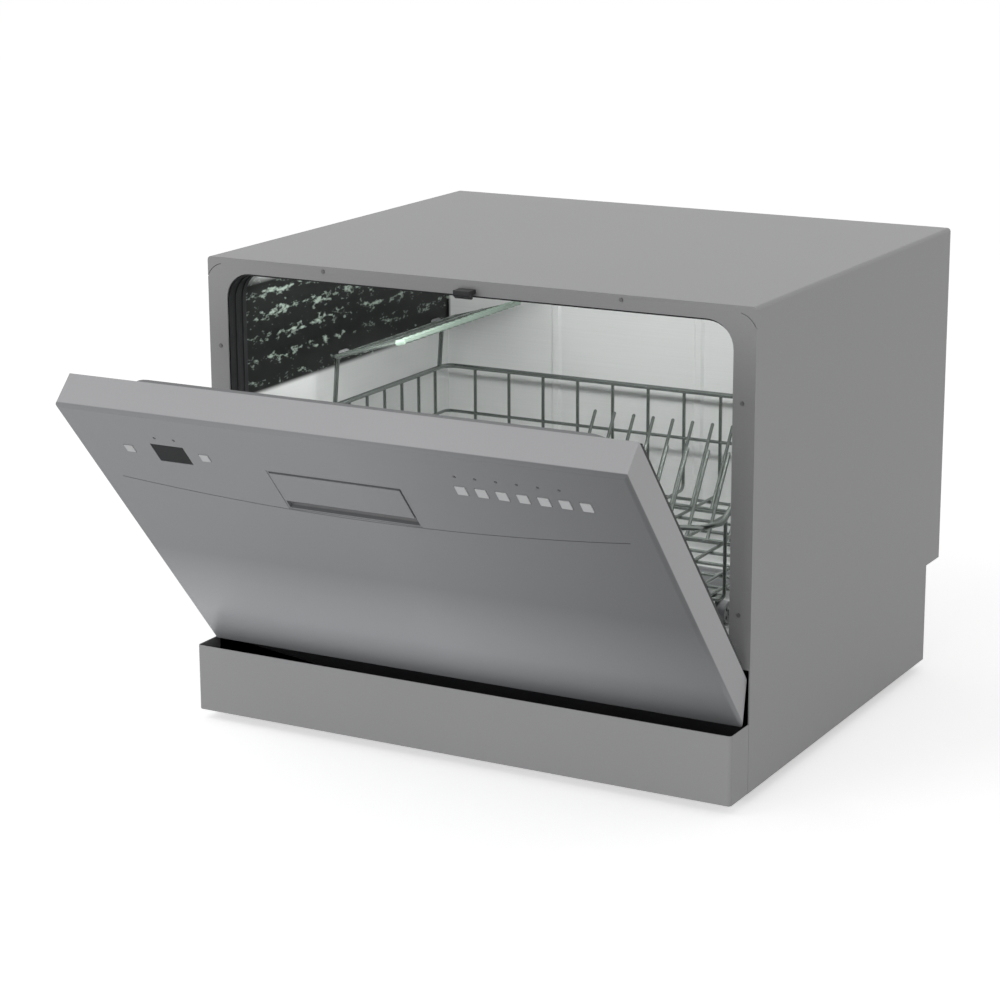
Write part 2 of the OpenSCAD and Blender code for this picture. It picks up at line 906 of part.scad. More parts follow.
// Flat chamber between the tub and the casing that lets the inlet water fall freely.
break_d0 = 120;
break_len = 180;
break_low = 200;
break_rows = 4;
break_wall = 3;
break_top = tub_top_z - 47;
break_pitch = (break_top - break_low - break_wall) / break_rows;

module air_break() {
    color(white)
    difference() {
        block(-casing_inner, -tub_half - tub_t, break_d0, break_d0 + break_len, break_low, break_top);
        for (row = [0:break_rows - 1])
            block(-casing_inner + break_wall, -tub_half - tub_t - break_wall, break_d0 + 3 * break_wall,
                break_d0 + break_len - 3 * break_wall, break_low + break_wall + row * break_pitch,
                break_low + (row + 1) * break_pitch);
    }
}

// ---- door ----

module door_side_view() {
    polygon(concat(
        [[door_rear, door_bevel_z], [door_rear, door_top_z + door_rise]],
        arc(edge_centre_y, edge_centre_z, door_edge_r, 90, 180, 5),
        [[door_front, door_low_z + 1.5], [door_front + 1, door_low_z]]
    ));
}

door_hollow_front = door_front + door_wall;
bevel_wall = door_wall + 0.8;

module door_hollow_view() {
    polygon([
        [door_hollow_front, door_low_z + bevel_wall + 1],
        [door_rear + 1, door_bevel_z + bevel_wall + 1],
        [door_rear + 1, door_top_z + door_rise - door_wall],
        [door_hollow_front, door_top_z - door_wall]
    ]);
}

// Seen from above, the front edges are rounded.
module door_plan() {
    polygon(concat(
        [[door_half, front_y + door_rear + 0.1], [door_half, front_y + door_front + door_edge_r]],
        arc(door_half - door_edge_r, front_y + door_front + door_edge_r, door_edge_r, 0, -90, 5),
        arc(-door_half + door_edge_r, front_y + door_front + door_edge_r, door_edge_r, 270, 180, 5),
        [[-door_half, front_y + door_rear + 0.1]]
    ));
}

hinge_slot_in = bracket_in - 8;
hinge_slot_out = bracket_out + 2;
boss_r = 4.5;
boss_x = pan_half + 12;
boss_z = [door_top_z - 16, door_top_z - 150, 165];
crease_r = 1600;
crease_half = door_half - 24;

// Places of the row of buttons and of the single ones, from the door's upper edge.
row_x = 110.8;
row_drop = 47;
lamp_drop = 28.5;
power_x = -218;
start_x = -140;
single_drop = 50;
display_x = -175;
display_w = 34;
display_h = 24;
display_drop = 51;

function button_x(i) = row_x + (i - 1) * button_pitch;

module front_hole(x, drop, w, h) {
    block(x - w / 2, x + w / 2, door_front - 1, door_hollow_front + 1,
        door_top_z - drop - h / 2, door_top_z - drop + h / 2);
}

pocket_w = handle_w + 4;
pocket_top = 56;
pocket_h = handle_h + 14;

// Front, edges and top of the door in one shell, open towards the tub.
module door_panel() {
    color(steel)
    on_door()
        difference() {
            union() {
                difference() {
                    intersection() {
                        side_slab(-door_half, door_half)
                            door_side_view();
                        translate([0, 0, door_low_z - 10])
                            linear_extrude(door_top_z)
                                door_plan();
                    }
                    side_slab(-door_half + door_wall, door_half - door_wall)
                        door_hollow_view();
                }
                for (side = [-1, 1], z = boss_z)
                    bar_y(side * boss_x, door_hollow_front - eps, door_rear - 1.2, z, boss_r);
                both_sides()
                    block(pawl_half + 0.4, pawl_half + 3.4, door_hollow_front - eps, pawl_d + 3, pawl_z - 4,
                        pawl_z + 4);
            }
            bar_x(-pawl_half - 5, pawl_half + 5, pawl_d, pawl_z, pawl_pin_r + run_gap);
            for (side = [-1, 1], z = boss_z)
                bar_y(side * boss_x, door_hollow_front + 6, door_rear, z, screw_r);
            for (i = [1:7])
                front_hole(button_x(i), row_drop, button_w + 0.6, button_h + 0.6);
            for (x = [power_x, start_x])
                front_hole(x, single_drop, button_w - 0.4, button_w - 0.4);
            front_hole(display_x, display_drop, display_w, display_h);
            lamp_places()
                bar_y(0, door_front - 1, door_hollow_front + 1, 0, lamp_r);
            front_hole(handle_x, pocket_top + pocket_h / 2, pocket_w, pocket_h);
            // Shallow crease below the controls
            crease();
            both_sides()
                block(hinge_slot_in, hinge_slot_out, door_front + door_wall + 6, 0, 0,
                    hinge_z + eye_r + 2.5);
        }
}

// A groove on a wide arc, lowest under the handle.
module crease() {
    translate([handle_x, front_y + door_front, door_top_z - pocket_top - pocket_h + 1 + crease_r - 3])
        rotate([90, 0, 0])
            translate([0, 0, -0.4])
                intersection() {
                    difference() {
                        cylinder(h = 1, r = crease_r + 0.6);
                        translate([0, 0, -1])
                            cylinder(h = 3, r = crease_r - 0.6);
                    }
                    translate([-crease_half - handle_x, -crease_r - 1, -1])
                        cube([2 * crease_half, 60, 4]);
                }
}

lamp_r = 1.5;

module lamp_places() {
    for (i = [1:6])
        translate([button_x(i), 0, door_top_z - lamp_drop])
            children();
    for (x = [display_x - 8, display_x + 12])
        translate([x, 0, door_top_z - 30])
            children();
}

liner_t = 1;

// Stainless inner skin with a raised pan, a cut-out for the dispenser and a latch slot.
module door_liner() {
    color(bright)
    on_door()
        difference() {
            union() {
                slab(door_rear - liner_t, door_rear)
                    translate([-door_half + door_wall + 0.1, door_bevel_z + 5])
                        square([2 * (door_half - door_wall - 0.1),
                            door_top_z - door_wall - door_bevel_z - 5.2]);
                slab(door_rear - eps, pan_in)
                    round_rect(pan_half, pan_low_z, pan_top_z, pan_r);
            }
            slab(door_rear - 5, pan_in - liner_t)
                round_rect(pan_half - liner_t, pan_low_z + liner_t, pan_top_z - liner_t, pan_r - liner_t);
            block(disp_x0 + 4, disp_x1 - 4, door_rear, pan_in + 1, disp_z0 + 4, disp_z1 - 4);
            block(-catch_half - 3, catch_half + 3, door_rear - 3, door_rear + 1, catch_z - 4, door_top_z);
            for (side = [-1, 1], z = boss_z)
                bar_y(side * boss_x, door_rear - 3, door_rear + 1, z, screw_r + 0.1);
            both_sides()
                block(hinge_slot_in, hinge_slot_out, door_rear - 3, 0, 0, hinge_z + eye_r + 2.5);
        }
}

// Black strips along the rear edges that close the gap to the frame.
module door_side_seals() {
    color(black)
    on_door()
        both_sides()
            block(door_half - 4, door_half, door_rear, -0.5, frame_end_z + 3, door_top_z - 2);
}

module door_screws() {
    color(bright)
    on_door()
        for (side = [-1, 1], z = boss_z)
            translate([side * boss_x, front_y + door_rear, z])
                rotate([90, 0, 0]) {
                    translate([0, 0, -1.4])
                        cylinder(h = 1.4, r = screw_r * 1.7);
                    translate([0, 0, -eps])
                        cylinder(h = 10, r = screw_r - 0.1);
                }
}

arm_plate_t = 3;
arm_plate_out = spring_in - 0.3;

// Plates screwed inside the door, each with the pin that turns in the bracket.
module hinge_arms() {
    color(grey)
    on_door()
        both_sides() {
            side_slab(arm_plate_out - arm_plate_t, arm_plate_out)
                union() {
                    translate([-hinge_out, hinge_z])
                        circle(r = 7);
                    translate([-hinge_out - 7, hinge_z])
                        square([14, 45]);
                }
            bar_x(arm_plate_out - eps, bracket_out + 1.5, -hinge_out, hinge_z, hinge_pin_r);
            block(arm_plate_out - 8, arm_plate_out - arm_plate_t + eps, door_hollow_front, -hinge_out + 7,
                hinge_z + 24, hinge_z + 45);
        }
}

pocket_t = 1.6;
pocket_depth = 20;

// Cup behind the handle that gives room for the fingers.
module handle_pocket() {
    color(black)
    on_door()
        difference() {
            block(handle_x - pocket_w / 2, handle_x + pocket_w / 2, door_front + 0.4,
                door_front + pocket_depth, pocket_low, pocket_high);
            block(handle_x - pocket_w / 2 + pocket_t, handle_x + pocket_w / 2 - pocket_t, door_front - 1,
                door_front + pocket_depth - pocket_t, pocket_low + pocket_t, pocket_high - pocket_t);
            bar_x(handle_x - pocket_w, handle_x + pocket_w, lever_d, lever_z, lever_pin_r + run_gap);
        }
}

pocket_low = door_top_z - pocket_top - pocket_h;
pocket_high = door_top_z - pocket_top;
lever_pin_r = 1.5;
lever_d = door_front + 3;
lever_z = pocket_high - 5;

// Plate that the fingers pull from below; it turns on two pins at its upper edge.
module handle_lever() {
    color(steel)
    on_door() {
        block(handle_x - handle_w / 2 + 0.5, handle_x + handle_w / 2 - 0.5, door_front - 0.6,
            door_front + 2, lever_z - handle_h + 4, lever_z + 2);
        block(handle_x - handle_w / 2 + 0.5, handle_x + handle_w / 2 - 0.5, door_front + 2 - eps,
            door_front + 7, lever_z - handle_h + 4, lever_z - handle_h + 6);
        bar_x(handle_x - pocket_w / 2 + 0.2, handle_x + pocket_w / 2 - 0.2, lever_d, lever_z, lever_pin_r);
    }
}

pawl_half = 5;
pawl_pin_r = 2;
pawl_z = catch_z - 12;
pawl_d = door_rear - 5;

// Pawl under the catch, turned by the lever.
module latch_pawl() {
    color(white)
    on_door()
        union() {
            side_slab(-pawl_half, pawl_half)
                polygon([
                    [pawl_d - 4, pawl_z - 4],
                    [pawl_d + 3, pawl_z - 4],
                    [pawl_d + 3, pawl_z + 4],
                    [pawl_d + 3.5, catch_z - 1],
                    [pawl_d - 1, catch_z - 1.4],
                    [pawl_d - 4, pawl_z + 4]
                ]);
            bar_x(-pawl_half - 3, pawl_half + 3, pawl_d, pawl_z, pawl_pin_r);
        }
}

module display_window() {
    color(black)
    on_door()
        slab(door_front + 0.2, door_hollow_front - 0.2)
            translate([display_x - display_w / 2 + 0.15, door_top_z - display_drop - display_h / 2 + 0.15])
                square([display_w - 0.3, display_h - 0.3]);
}

module indicator_lenses() {
    color([0.2, 0.2, 0.22])
    on_door()
        lamp_places()
            bar_y(0, door_front - 0.2, board_d - 0.1, 0, lamp_r - 0.1);
}

board_d = door_hollow_front + 7.5;
board_t = 1.6;
switch_h = 3.2;

// Two circuit boards on posts, with a switch behind each button.
module control_board() {
    color([0.1, 0.3, 0.16])
    on_door() {
        board_half(power_x - 14, start_x + 14, [power_x, start_x], single_drop);
        board_half(row_x - 12, button_x(7) + 12, [for (i = [1:7]) button_x(i)], row_drop);
    }
}

module board_half(x0, x1, buttons, drop) {
    block(x0, x1, board_d, board_d + board_t, door_top_z - 68, door_top_z - 18);
    for (x = buttons)
        block(x - 3, x + 3, board_d - switch_h, board_d + eps, door_top_z - drop - 3,
            door_top_z - drop + 3);
    for (x = [x0 + 3, x1 - 3], drop_post = [21, 65])
        bar_y(x, door_hollow_front, board_d + eps, door_top_z - drop_post, 2);
}

cap_out = 0.8;

// A cap through the panel, with a collar behind it and a stem over its switch.
module button_cap(x, drop, w, h) {
    color(grey)
    on_door() {
        block(x - w / 2, x + w / 2, door_front - cap_out, door_hollow_front + 0.3, door_top_z - drop - h / 2,
            door_top_z - drop + h / 2);
        block(x - w / 2 - 1.6, x + w / 2 + 1.6, door_hollow_front + 0.2, door_hollow_front + 1.6,
            door_top_z - drop - h / 2 - 1.6, door_top_z - drop + h / 2 + 1.6);
        block(x - 1.5, x + 1.5, door_hollow_front + 1.6 - eps, board_d - switch_h - button_travel - 0.2,
            door_top_z - drop - 1.5, door_top_z - drop + 1.5);
    }
}

module program_button(i) {
    button_cap(button_x(i), row_drop, button_w, button_h);
}

module single_button(x) {
    button_cap(x, single_drop, button_w - 1, button_w - 1);
}

// The dispenser is set in the pan, its lid sliding to the left over a parking plate.
disp_x0 = -112;
disp_x1 = 88;
disp_z0 = 232;
disp_z1 = disp_z0 + 80;
disp_face = pan_in + 1.6;
cup_x0 = -30;
cup_w = 62;
cup_h = 60;
cup_mid_z = (disp_z0 + disp_z1) / 2;
rinse_x = 62;
rinse_r = 15;
lid_t = 1.8;

module dispenser_body() {
    color(grey)
    on_door()
        difference() {
            union() {
                block(disp_x0, disp_x1, pan_in, disp_face, disp_z0, disp_z1);
                block(disp_x0 + 4.2, disp_x1 - 4.2, -2, pan_in + eps, disp_z0 + 4.2, disp_z1 - 4.2);
                for (z = [cup_mid_z - cup_h / 2 - 5.5, cup_mid_z + cup_h / 2 + 3.5])
                    block(disp_x0 + 6, cup_x0 + cup_w + 4, disp_face - eps, disp_face + lid_t + 0.8,
                        z, z + 2);
            }
            block(cup_x0, cup_x0 + cup_w, pan_in - 16, disp_face + 1, cup_mid_z - cup_h / 2,
                cup_mid_z + cup_h / 2);
            bar_y(rinse_x, pan_in - 12, disp_face + 1, cup_mid_z, rinse_r + run_gap);
        }
}

module dispenser_lid() {
    color(white)
    on_door() {
        block(cup_x0 - 3, cup_x0 + cup_w + 3, disp_face + 0.2, disp_face + 0.2 + lid_t,
            cup_mid_z - cup_h / 2 - 3.2, cup_mid_z + cup_h / 2 + 3.2);
        block(cup_x0, cup_x0 + 3, disp_face + lid_t, disp_face + lid_t + 1.2, cup_mid_z - 12,
            cup_mid_z + 12);
    }
}

module rinse_cap() {
    color(white)
    on_door() {
        bar_y(rinse_x, pan_in - 10, disp_face + 1.4, cup_mid_z, rinse_r);
        block(rinse_x - 10, rinse_x + 10, disp_face + 1.4 - eps, disp_face + 2.8, cup_mid_z - 1.5,
            cup_mid_z + 1.5);
    }
}

// ---- rack ----

rack_half = rack_w / 2;
// The panels of the frame are welded face to face, drawn with this gap.
weld_gap = 0.1;
// Front of the rack when the door is shut and the rack is right in.
rack_home = pan_in + 9;
rack_front = rack_home - rack_lead;
rack_rear = rack_front + rack_d;
corner_cut = 34;
// Length over which the side rim rises behind the front corners
rim_run = 60;
wire_front = rack_front + rim_r;
wire_rear = rack_rear - rim_r;
wire_half = rack_half - rim_r;

function rp(x, d, z) = [x, front_y + d, z];

cross_count = 10;
long_count = 11;
cross_start = wire_front + corner_cut + 6;
mid_z = 224;
front_rails = [189, 204];
cross_pitch = (wire_rear - 24 - cross_start) / (cross_count - 1);
long_pitch = 2 * (wire_half - corner_cut) / (long_count - 1);
wheel_w = 8;
// The wheels run near the middle of the ledges.
wheel_x = (basin_half + tub_half) / 2 - 5.5;
wheel_z = ledge_z + 0.4 + wheel_r;
wheel_ds = [rack_front + 52, rack_front + rack_d / 2, rack_rear - 38];
axle_r = 2.4;
carrier_t = 3;
carrier_x = wheel_x - wheel_w / 2 - 0.4;

// Height of the side rim at a depth d.
function rim_z(d) = min(rim_rear_z,
    rim_front_z + max(0, d - wire_front - corner_cut) * (rim_rear_z - rim_front_z) / rim_run);

// One tine, leaning back from a bottom wire.
module tine(x, d) {
    translate(rp(x, d, tine_bed_z))
        rotate([-tine_lean, 0, 0])
            cylinder(h = tine_len, r = wire_r, $fn = 8);
}

tine_rows = [wire_front + 193, wire_front + 296];
tine_start = -48;
tine_bed_z = rack_z + 2.4 + 2 * wire_r + weld_gap;
shelf_hinge_x = -wire_half + 4;
shelf_hinge_z = 322;
shelf_posts = [wire_front + 148, wire_rear - 15];
side_front = wire_front + corner_cut;
upright_foot = rack_z - wire_r;
floor_end = wire_half - wire_r - weld_gap;
clip_x = wire_half - 14;

// Wire frame of flat panels: floor, front, back, sides, corners and two rows of tines.
module rack_frame() {
    color(white) {
        rack_floor();
        rack_front_panel();
        rack_rear_panel();
        both_sides() {
            rack_side_panel();
            rack_corner();
        }
        for (row = tine_rows)
            tine_row(row);
        wheel_carriers();
        shelf_posts_frame();
    }
}

module rack_floor() {
    for (i = [0:cross_count - 1]) {
        d = cross_start + i * cross_pitch;
        wire([rp(-floor_end + 0.7 * wire_r, d, rack_z), rp(floor_end - 0.7 * wire_r, d, rack_z)], wire_r);
    }
    long_front = wire_front + 1.7 * wire_r + weld_gap;
    long_rear = wire_rear - 1.7 * wire_r - weld_gap;
    for (x = concat([-clip_x, clip_x], [for (i = [0:long_count - 1]) long_x(i)]))
        wire([rp(x, long_front, rack_z + 2.4), rp(x, long_rear, rack_z + 2.4)], wire_r);
}

function long_x(i) = -wire_half + corner_cut + i * long_pitch;

module rack_front_panel() {
    rim_end = wire_half - corner_cut;
    wire([rp(-rim_end, wire_front, rim_front_z), rp(rim_end, wire_front, rim_front_z)], rim_r);
    for (z = front_rails)
        wire([rp(-rim_end, wire_front, z), rp(rim_end, wire_front, z)], wire_r);
    for (i = [0:long_count - 1])
        wire([rp(long_x(i), wire_front, upright_foot), rp(long_x(i), wire_front, rim_front_z)], wire_r);
}

module rack_rear_panel() {
    rim_end = wire_half - 1.7 * rim_r - weld_gap;
    for (z = [rim_rear_z, mid_z])
        wire([rp(-rim_end, wire_rear, z), rp(rim_end, wire_rear, z)], z == mid_z ? wire_r : rim_r);
    for (i = [0:long_count - 1])
        wire([rp(long_x(i), wire_rear, upright_foot), rp(long_x(i), wire_rear, rim_rear_z)], wire_r);
}

// The side rim rises behind the front corner to the height of the back.
module rack_side_panel() {
    wire([
        rp(wire_half, side_front + 1.2 * rim_r, rim_front_z),
        rp(wire_half, side_front + rim_run, rim_rear_z),
        rp(wire_half, wire_rear, rim_rear_z)
    ], rim_r);
    wire([rp(wire_half, cross_start, mid_z), rp(wire_half, wire_rear, mid_z)], wire_r);
    for (i = [0:cross_count - 1]) {
        d = cross_start + i * cross_pitch;
        wire([rp(wire_half, d, upright_foot), rp(wire_half, d, rim_z(d))], wire_r);
    }
}

// The rim cuts each front corner in two short straights.
module rack_corner() {
    wire([
        rp(wire_half - corner_cut + 1.8 * rim_r + weld_gap, wire_front, rim_front_z),
        rp(wire_half - corner_cut / 4, wire_front + corner_cut / 3, rim_front_z),
        rp(wire_half, side_front - rim_r, rim_front_z)
    ], rim_r);
}

// Tines welded to one bottom wire, which lies on the floor's long wires.
module tine_row(d) {
    wire([rp(-floor_end + 8, d, tine_bed_z), rp(floor_end - 8, d, tine_bed_z)], wire_r);
    for (x = [tine_start:tine_pitch:wire_half - 20])
        tine(x, d);
}

// Moulded clips round the outer long wires, each with a plate and an axle for its wheel.
module wheel_carriers() {
    clip_low = wheel_z + wheel_r + 0.3;
    clip_top = rack_z + 2.4 - wire_r - weld_gap;
    for (d = wheel_ds)
        both_sides() {
            block(carrier_x - carrier_t, carrier_x, d - 6, d + 6, wheel_z - 5, clip_top);
            block(min(carrier_x - carrier_t, clip_x - 4), max(carrier_x, clip_x + 4), d - 6, d + 6,
                clip_low, clip_top);
            bar_x(carrier_x - 1, wheel_x + wheel_w / 2 + 1, d, wheel_z, axle_r);
        }
}

// Two posts on the left rim with the rod that the shelf turns on.
module shelf_posts_frame() {
    post_r = wire_r + 0.6;
    for (d = shelf_posts)
        wire([
            rp(-wire_half, d, rim_rear_z + rim_r + 0.7 * post_r + weld_gap),
            rp(shelf_hinge_x, d, shelf_hinge_z)
        ], post_r);
    bar_y(shelf_hinge_x, shelf_posts[0] - 8, shelf_posts[1] + 8, shelf_hinge_z, 1.6);
}

shelf_w = 82;
shelf_bars = 10;
shelf_tilt = 16;
shelf_d0 = wire_front + 134;
shelf_d1 = wire_rear;
band_w = 11;
band_t = 4;

// Folding shelf for cups, hooked round the rod on the posts.
module cup_shelf() {
    color(white)
    translate([shelf_hinge_x, front_y, shelf_hinge_z])
        rotate([0, -shelf_tilt, 0]) {
            translate([shelf_w - band_w / 2, shelf_d0, -band_t / 2])
                cube([band_w, shelf_d1 - shelf_d0, band_t]);
            shelf_rail(shelf_w / 2);
            shelf_rail(8);
            for (i = [0:shelf_bars - 1]) {
                d = shelf_d0 + i * (shelf_d1 - shelf_d0) / (shelf_bars - 1);
                translate([6, d, 0])
                    rotate([0, 90, 0])
                        cylinder(h = shelf_w - 6, r = wire_r);
            }
            for (d = [shelf_posts[0] + 12, shelf_posts[1] - 12])
                shelf_clip(d);
        }
}

module shelf_rail(x) {
    translate([x, shelf_d0, 0])
        rotate([-90, 0, 0])
            cylinder(h = shelf_d1 - shelf_d0, r = 2.2);
}

module shelf_clip(d) {
    translate([0, d - 5, 0])
        rotate([-90, 0, 0])
            difference() {
                union() {
                    cylinder(h = 10, r = 4);
                    translate([0, -2, 0])
                        cube([9, 4, 10]);
                }
                translate([0, 0, -1])
                    cylinder(h = 12, r = 1.6 + run_gap);
            }
}

basket_x0 = -214;
basket_w = 150;
basket_d0 = rack_front + 14;
basket_len = 74;
basket_z = rack_z + 2.4 + wire_r + 0.3;
basket_h = 118;
basket_t = 2;

// Slotted cutlery basket with three cells.
module cutlery_basket() {
    color(grey)
    difference() {
        block(basket_x0, basket_x0 + basket_w, basket_d0, basket_d0 + basket_len, basket_z,
            basket_z + basket_h);
        for (i = [0:2])
            block(basket_x0 + basket_t + i * (basket_w - basket_t) / 3,
                basket_x0 + (i + 1) * (basket_w - basket_t) / 3, basket_d0 + basket_t,
                basket_d0 + basket_len - basket_t, basket_z + basket_t, basket_z + basket_h + 1);
        for (i = [0:8], row = [0:2])
            block(basket_x0 + 8 + i * 15.6, basket_x0 + 17 + i * 15.6, basket_d0 - 1,
                basket_d0 + basket_len + 1, basket_z + 10 + row * 34, basket_z + 36 + row * 34);
    }
}

module rack_wheel(index) {
    side = index > 3 ? 1 : -1;
    d = wheel_ds[(index - 1) % 3];
    color(grey)
    difference() {
        bar_x(side * wheel_x - wheel_w / 2, side * wheel_x + wheel_w / 2, d, wheel_z, wheel_r);
        bar_x(side * wheel_x - wheel_w, side * wheel_x + wheel_w, d, wheel_z, axle_r + run_gap);
        for (a = [0:72:288])
            translate([side * wheel_x - wheel_w, front_y + d, wheel_z])
                rotate([a, 0, 0])
                    translate([0, 6.2, 0])
                        rotate([0, 90, 0])
                            cylinder(h = 2 * wheel_w, r = 1.6);
    }
}

// ---- nodes ----

outer_casing();
rear_panel();
base_tray();
plinth();
feet();
casing_screws();
tub();
tub_gasket();
sill_seal();
door_catch();
hinge_brackets();
hinge_springs();
sump();
circulation_pump();
drain_pump();
heater();
softener();
inlet_valve();
drain_spigot();
cord_gland();
air_break();
wash_pipe();
spray_hub();
spray_arm();
salt_cap();
filter_cup();
pump_impeller();
door_panel();
door_liner();
door_side_seals();
door_screws();
hinge_arms();
handle_pocket();
display_window();
indicator_lenses();
control_board();
dispenser_body();
dispenser_lid();
rinse_cap();
handle_lever();
latch_pawl();
single_button(power_x);  // button_power
single_button(start_x);  // button_start
program_button(1);  // button_1
program_button(2);  // button_2
program_button(3);  // button_3
program_button(4);  // button_4
program_button(5);  // button_5
program_button(6);  // button_6
program_button(7);  // button_7
rack_frame();
cup_shelf();
cutlery_basket();
rack_wheel(1);  // wheel_1
rack_wheel(2);  // wheel_2
rack_wheel(3);  // wheel_3
rack_wheel(4);  // wheel_4
rack_wheel(5);  // wheel_5
rack_wheel(6);  // wheel_6
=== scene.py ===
import json
import math
import bmesh
import bpy
from mathutils import Matrix, Vector


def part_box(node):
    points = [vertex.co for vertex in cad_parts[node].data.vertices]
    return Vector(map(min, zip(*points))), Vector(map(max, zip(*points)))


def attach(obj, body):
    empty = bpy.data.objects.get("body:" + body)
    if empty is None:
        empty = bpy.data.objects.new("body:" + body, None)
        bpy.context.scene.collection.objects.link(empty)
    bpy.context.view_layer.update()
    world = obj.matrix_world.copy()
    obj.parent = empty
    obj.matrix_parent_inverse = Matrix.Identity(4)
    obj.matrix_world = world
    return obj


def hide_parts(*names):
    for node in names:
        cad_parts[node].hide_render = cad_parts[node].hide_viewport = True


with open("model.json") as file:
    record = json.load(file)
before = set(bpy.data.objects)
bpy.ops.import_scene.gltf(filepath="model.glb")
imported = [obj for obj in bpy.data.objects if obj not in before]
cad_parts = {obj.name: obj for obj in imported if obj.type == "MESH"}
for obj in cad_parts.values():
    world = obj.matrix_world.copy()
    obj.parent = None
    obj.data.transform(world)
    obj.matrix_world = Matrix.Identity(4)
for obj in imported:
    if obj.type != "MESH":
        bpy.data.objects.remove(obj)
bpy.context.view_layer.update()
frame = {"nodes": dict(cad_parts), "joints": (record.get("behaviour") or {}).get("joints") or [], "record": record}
scene = bpy.context.scene
scene.view_settings.view_transform = "Standard"
nodeObjects = frame["nodes"]
print("frame loaded:", len(nodeObjects), "nodes")

# where the front frame's plane lies, and how the door turns
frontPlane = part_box("outer_casing")[0].y
hingeJoint = next(j for j in frame["joints"] if j["name"] == "door_hinge")
hingePoint = Vector(hingeJoint["pos_m"])
doorAngle = math.radians(-hingeJoint["range_deg"][0])
doorTurn = (Matrix.Translation(hingePoint) @ Matrix.Rotation(doorAngle, 4, "X")
            @ Matrix.Translation(-hingePoint))


def at(x, depth, z):
    # millimetres from the front frame's plane, to metres in the frame
    return Vector((x / 1000, frontPlane + depth / 1000, z / 1000))


cameraPlace = {
    "x": 1182.4, "depth": -2079.2, "z": 866.4,
    "yaw": 28.97, "pitch": 14.69, "roll": -0.28, "focal": 2774.1,
    "sensor": 36, "pixels": 1000, "near": 0.05,
}


def makeCamera(place):
    data = bpy.data.cameras.new("photoCamera")
    data.sensor_width = place["sensor"]
    data.sensor_fit = "HORIZONTAL"
    data.lens = place["focal"] * place["sensor"] / place["pixels"]
    data.clip_start = place["near"]
    camera = bpy.data.objects.new("photoCamera", data)
    scene.collection.objects.link(camera)
    yaw, pitch, roll = (math.radians(place[k]) for k in ("yaw", "pitch", "roll"))
    ahead = Vector((-math.sin(yaw) * math.cos(pitch), math.cos(yaw) * math.cos(pitch), -math.sin(pitch)))
    right = Vector((math.cos(yaw), math.sin(yaw), 0))
    up = right.cross(ahead)
    side = right * math.cos(roll) + up * math.sin(roll)
    turned = Matrix((side, ahead.cross(side) * -1, ahead * -1)).transposed().to_4x4()
    camera.matrix_world = Matrix.Translation(at(place["x"], place["depth"], place["z"])) @ turned
    scene.camera = camera


makeCamera(cameraPlace)


def addNode(tree, kind, inputs=None, **settings):
    node = tree.nodes.new(kind)
    for name, value in settings.items():
        setattr(node, name, value)
    for key, value in (inputs or {}).items():
        socket = node.inputs[key]
        if isinstance(value, bpy.types.NodeSocket):
            tree.links.new(value, socket)
        else:
            socket.default_value = value
    return node


def addMath(tree, operation, *values):
    return addNode(tree, "ShaderNodeMath", dict(enumerate(values)), operation=operation).outputs[0]


def addVectorMath(tree, operation, inputs, output="Vector"):
    return addNode(tree, "ShaderNodeVectorMath", inputs, operation=operation).outputs[output]


def addRange(tree, value, low, high, toLow=0.0, toHigh=1.0, **settings):
    return addNode(tree, "ShaderNodeMapRange", {"Value": value, "From Min": low, "From Max": high,
                   "To Min": toLow, "To Max": toHigh}, **settings).outputs[0]


def addNoise(tree, vector, scale, detail, roughness=0.5):
    return addNode(tree, "ShaderNodeTexNoise", {"Vector": vector, "Scale": scale, "Detail": detail,
                   "Roughness": roughness}).outputs["Fac"]


def addBump(tree, height, strength, distance):
    return addNode(tree, "ShaderNodeBump", {"Height": height, "Strength": strength,
                   "Distance": distance}).outputs[0]


def addXyz(tree, x=0.0, y=0.0, z=0.0):
    return addNode(tree, "ShaderNodeCombineXYZ", {0: x, 1: y, 2: z}).outputs[0]


def mixColors(tree, share, first, second):
    # a mix node's colours are its inputs 6 and 7 and its output 2
    return addNode(tree, "ShaderNodeMix", {0: share, 6: first, 7: second}, data_type="RGBA").outputs[2]


def addSwing(tree, value, middle, swing, level):
    # how far a value lies from its middle, times a swing, about a level
    return addMath(tree, "MULTIPLY_ADD", addMath(tree, "SUBTRACT", value, middle), swing, level)


def floatSockets(values):
    return [(label, "NodeSocketFloat", value) for label, value in values.items()]


def newGroup(name, kind, inputs, outputs):
    # a node tree, with the sockets that its inputs come from and those that its outputs go to
    tree = bpy.data.node_groups.new(name, kind)
    for label, socketType, value in inputs:
        socket = tree.interface.new_socket(name=label, in_out="INPUT", socket_type=socketType)
        if value is not None:
            socket.default_value = value
    for label, socketType in outputs:
        tree.interface.new_socket(name=label, in_out="OUTPUT", socket_type=socketType)
    return tree, tree.nodes.new("NodeGroupInput").outputs, tree.nodes.new("NodeGroupOutput").inputs


surfaceOut = [("Color", "NodeSocketColor"), ("Roughness", "NodeSocketFloat"), ("Normal", "NodeSocketVector")]


def surfaceEnd(tree, out, color, roughness, normal):
    for label, socket in (("Color", color), ("Roughness", roughness), ("Normal", normal)):
        tree.links.new(socket, out[label])


# painted shade on the door front: how deep its mask reaches, where painted shade darkens it further to the right,
# and where painted light brightens it at the bottom
doorPaintedShade = {"depth": (-0.0045, -0.0035), "across": (0.0, 0.27), "low": (0.115, 0.19)}


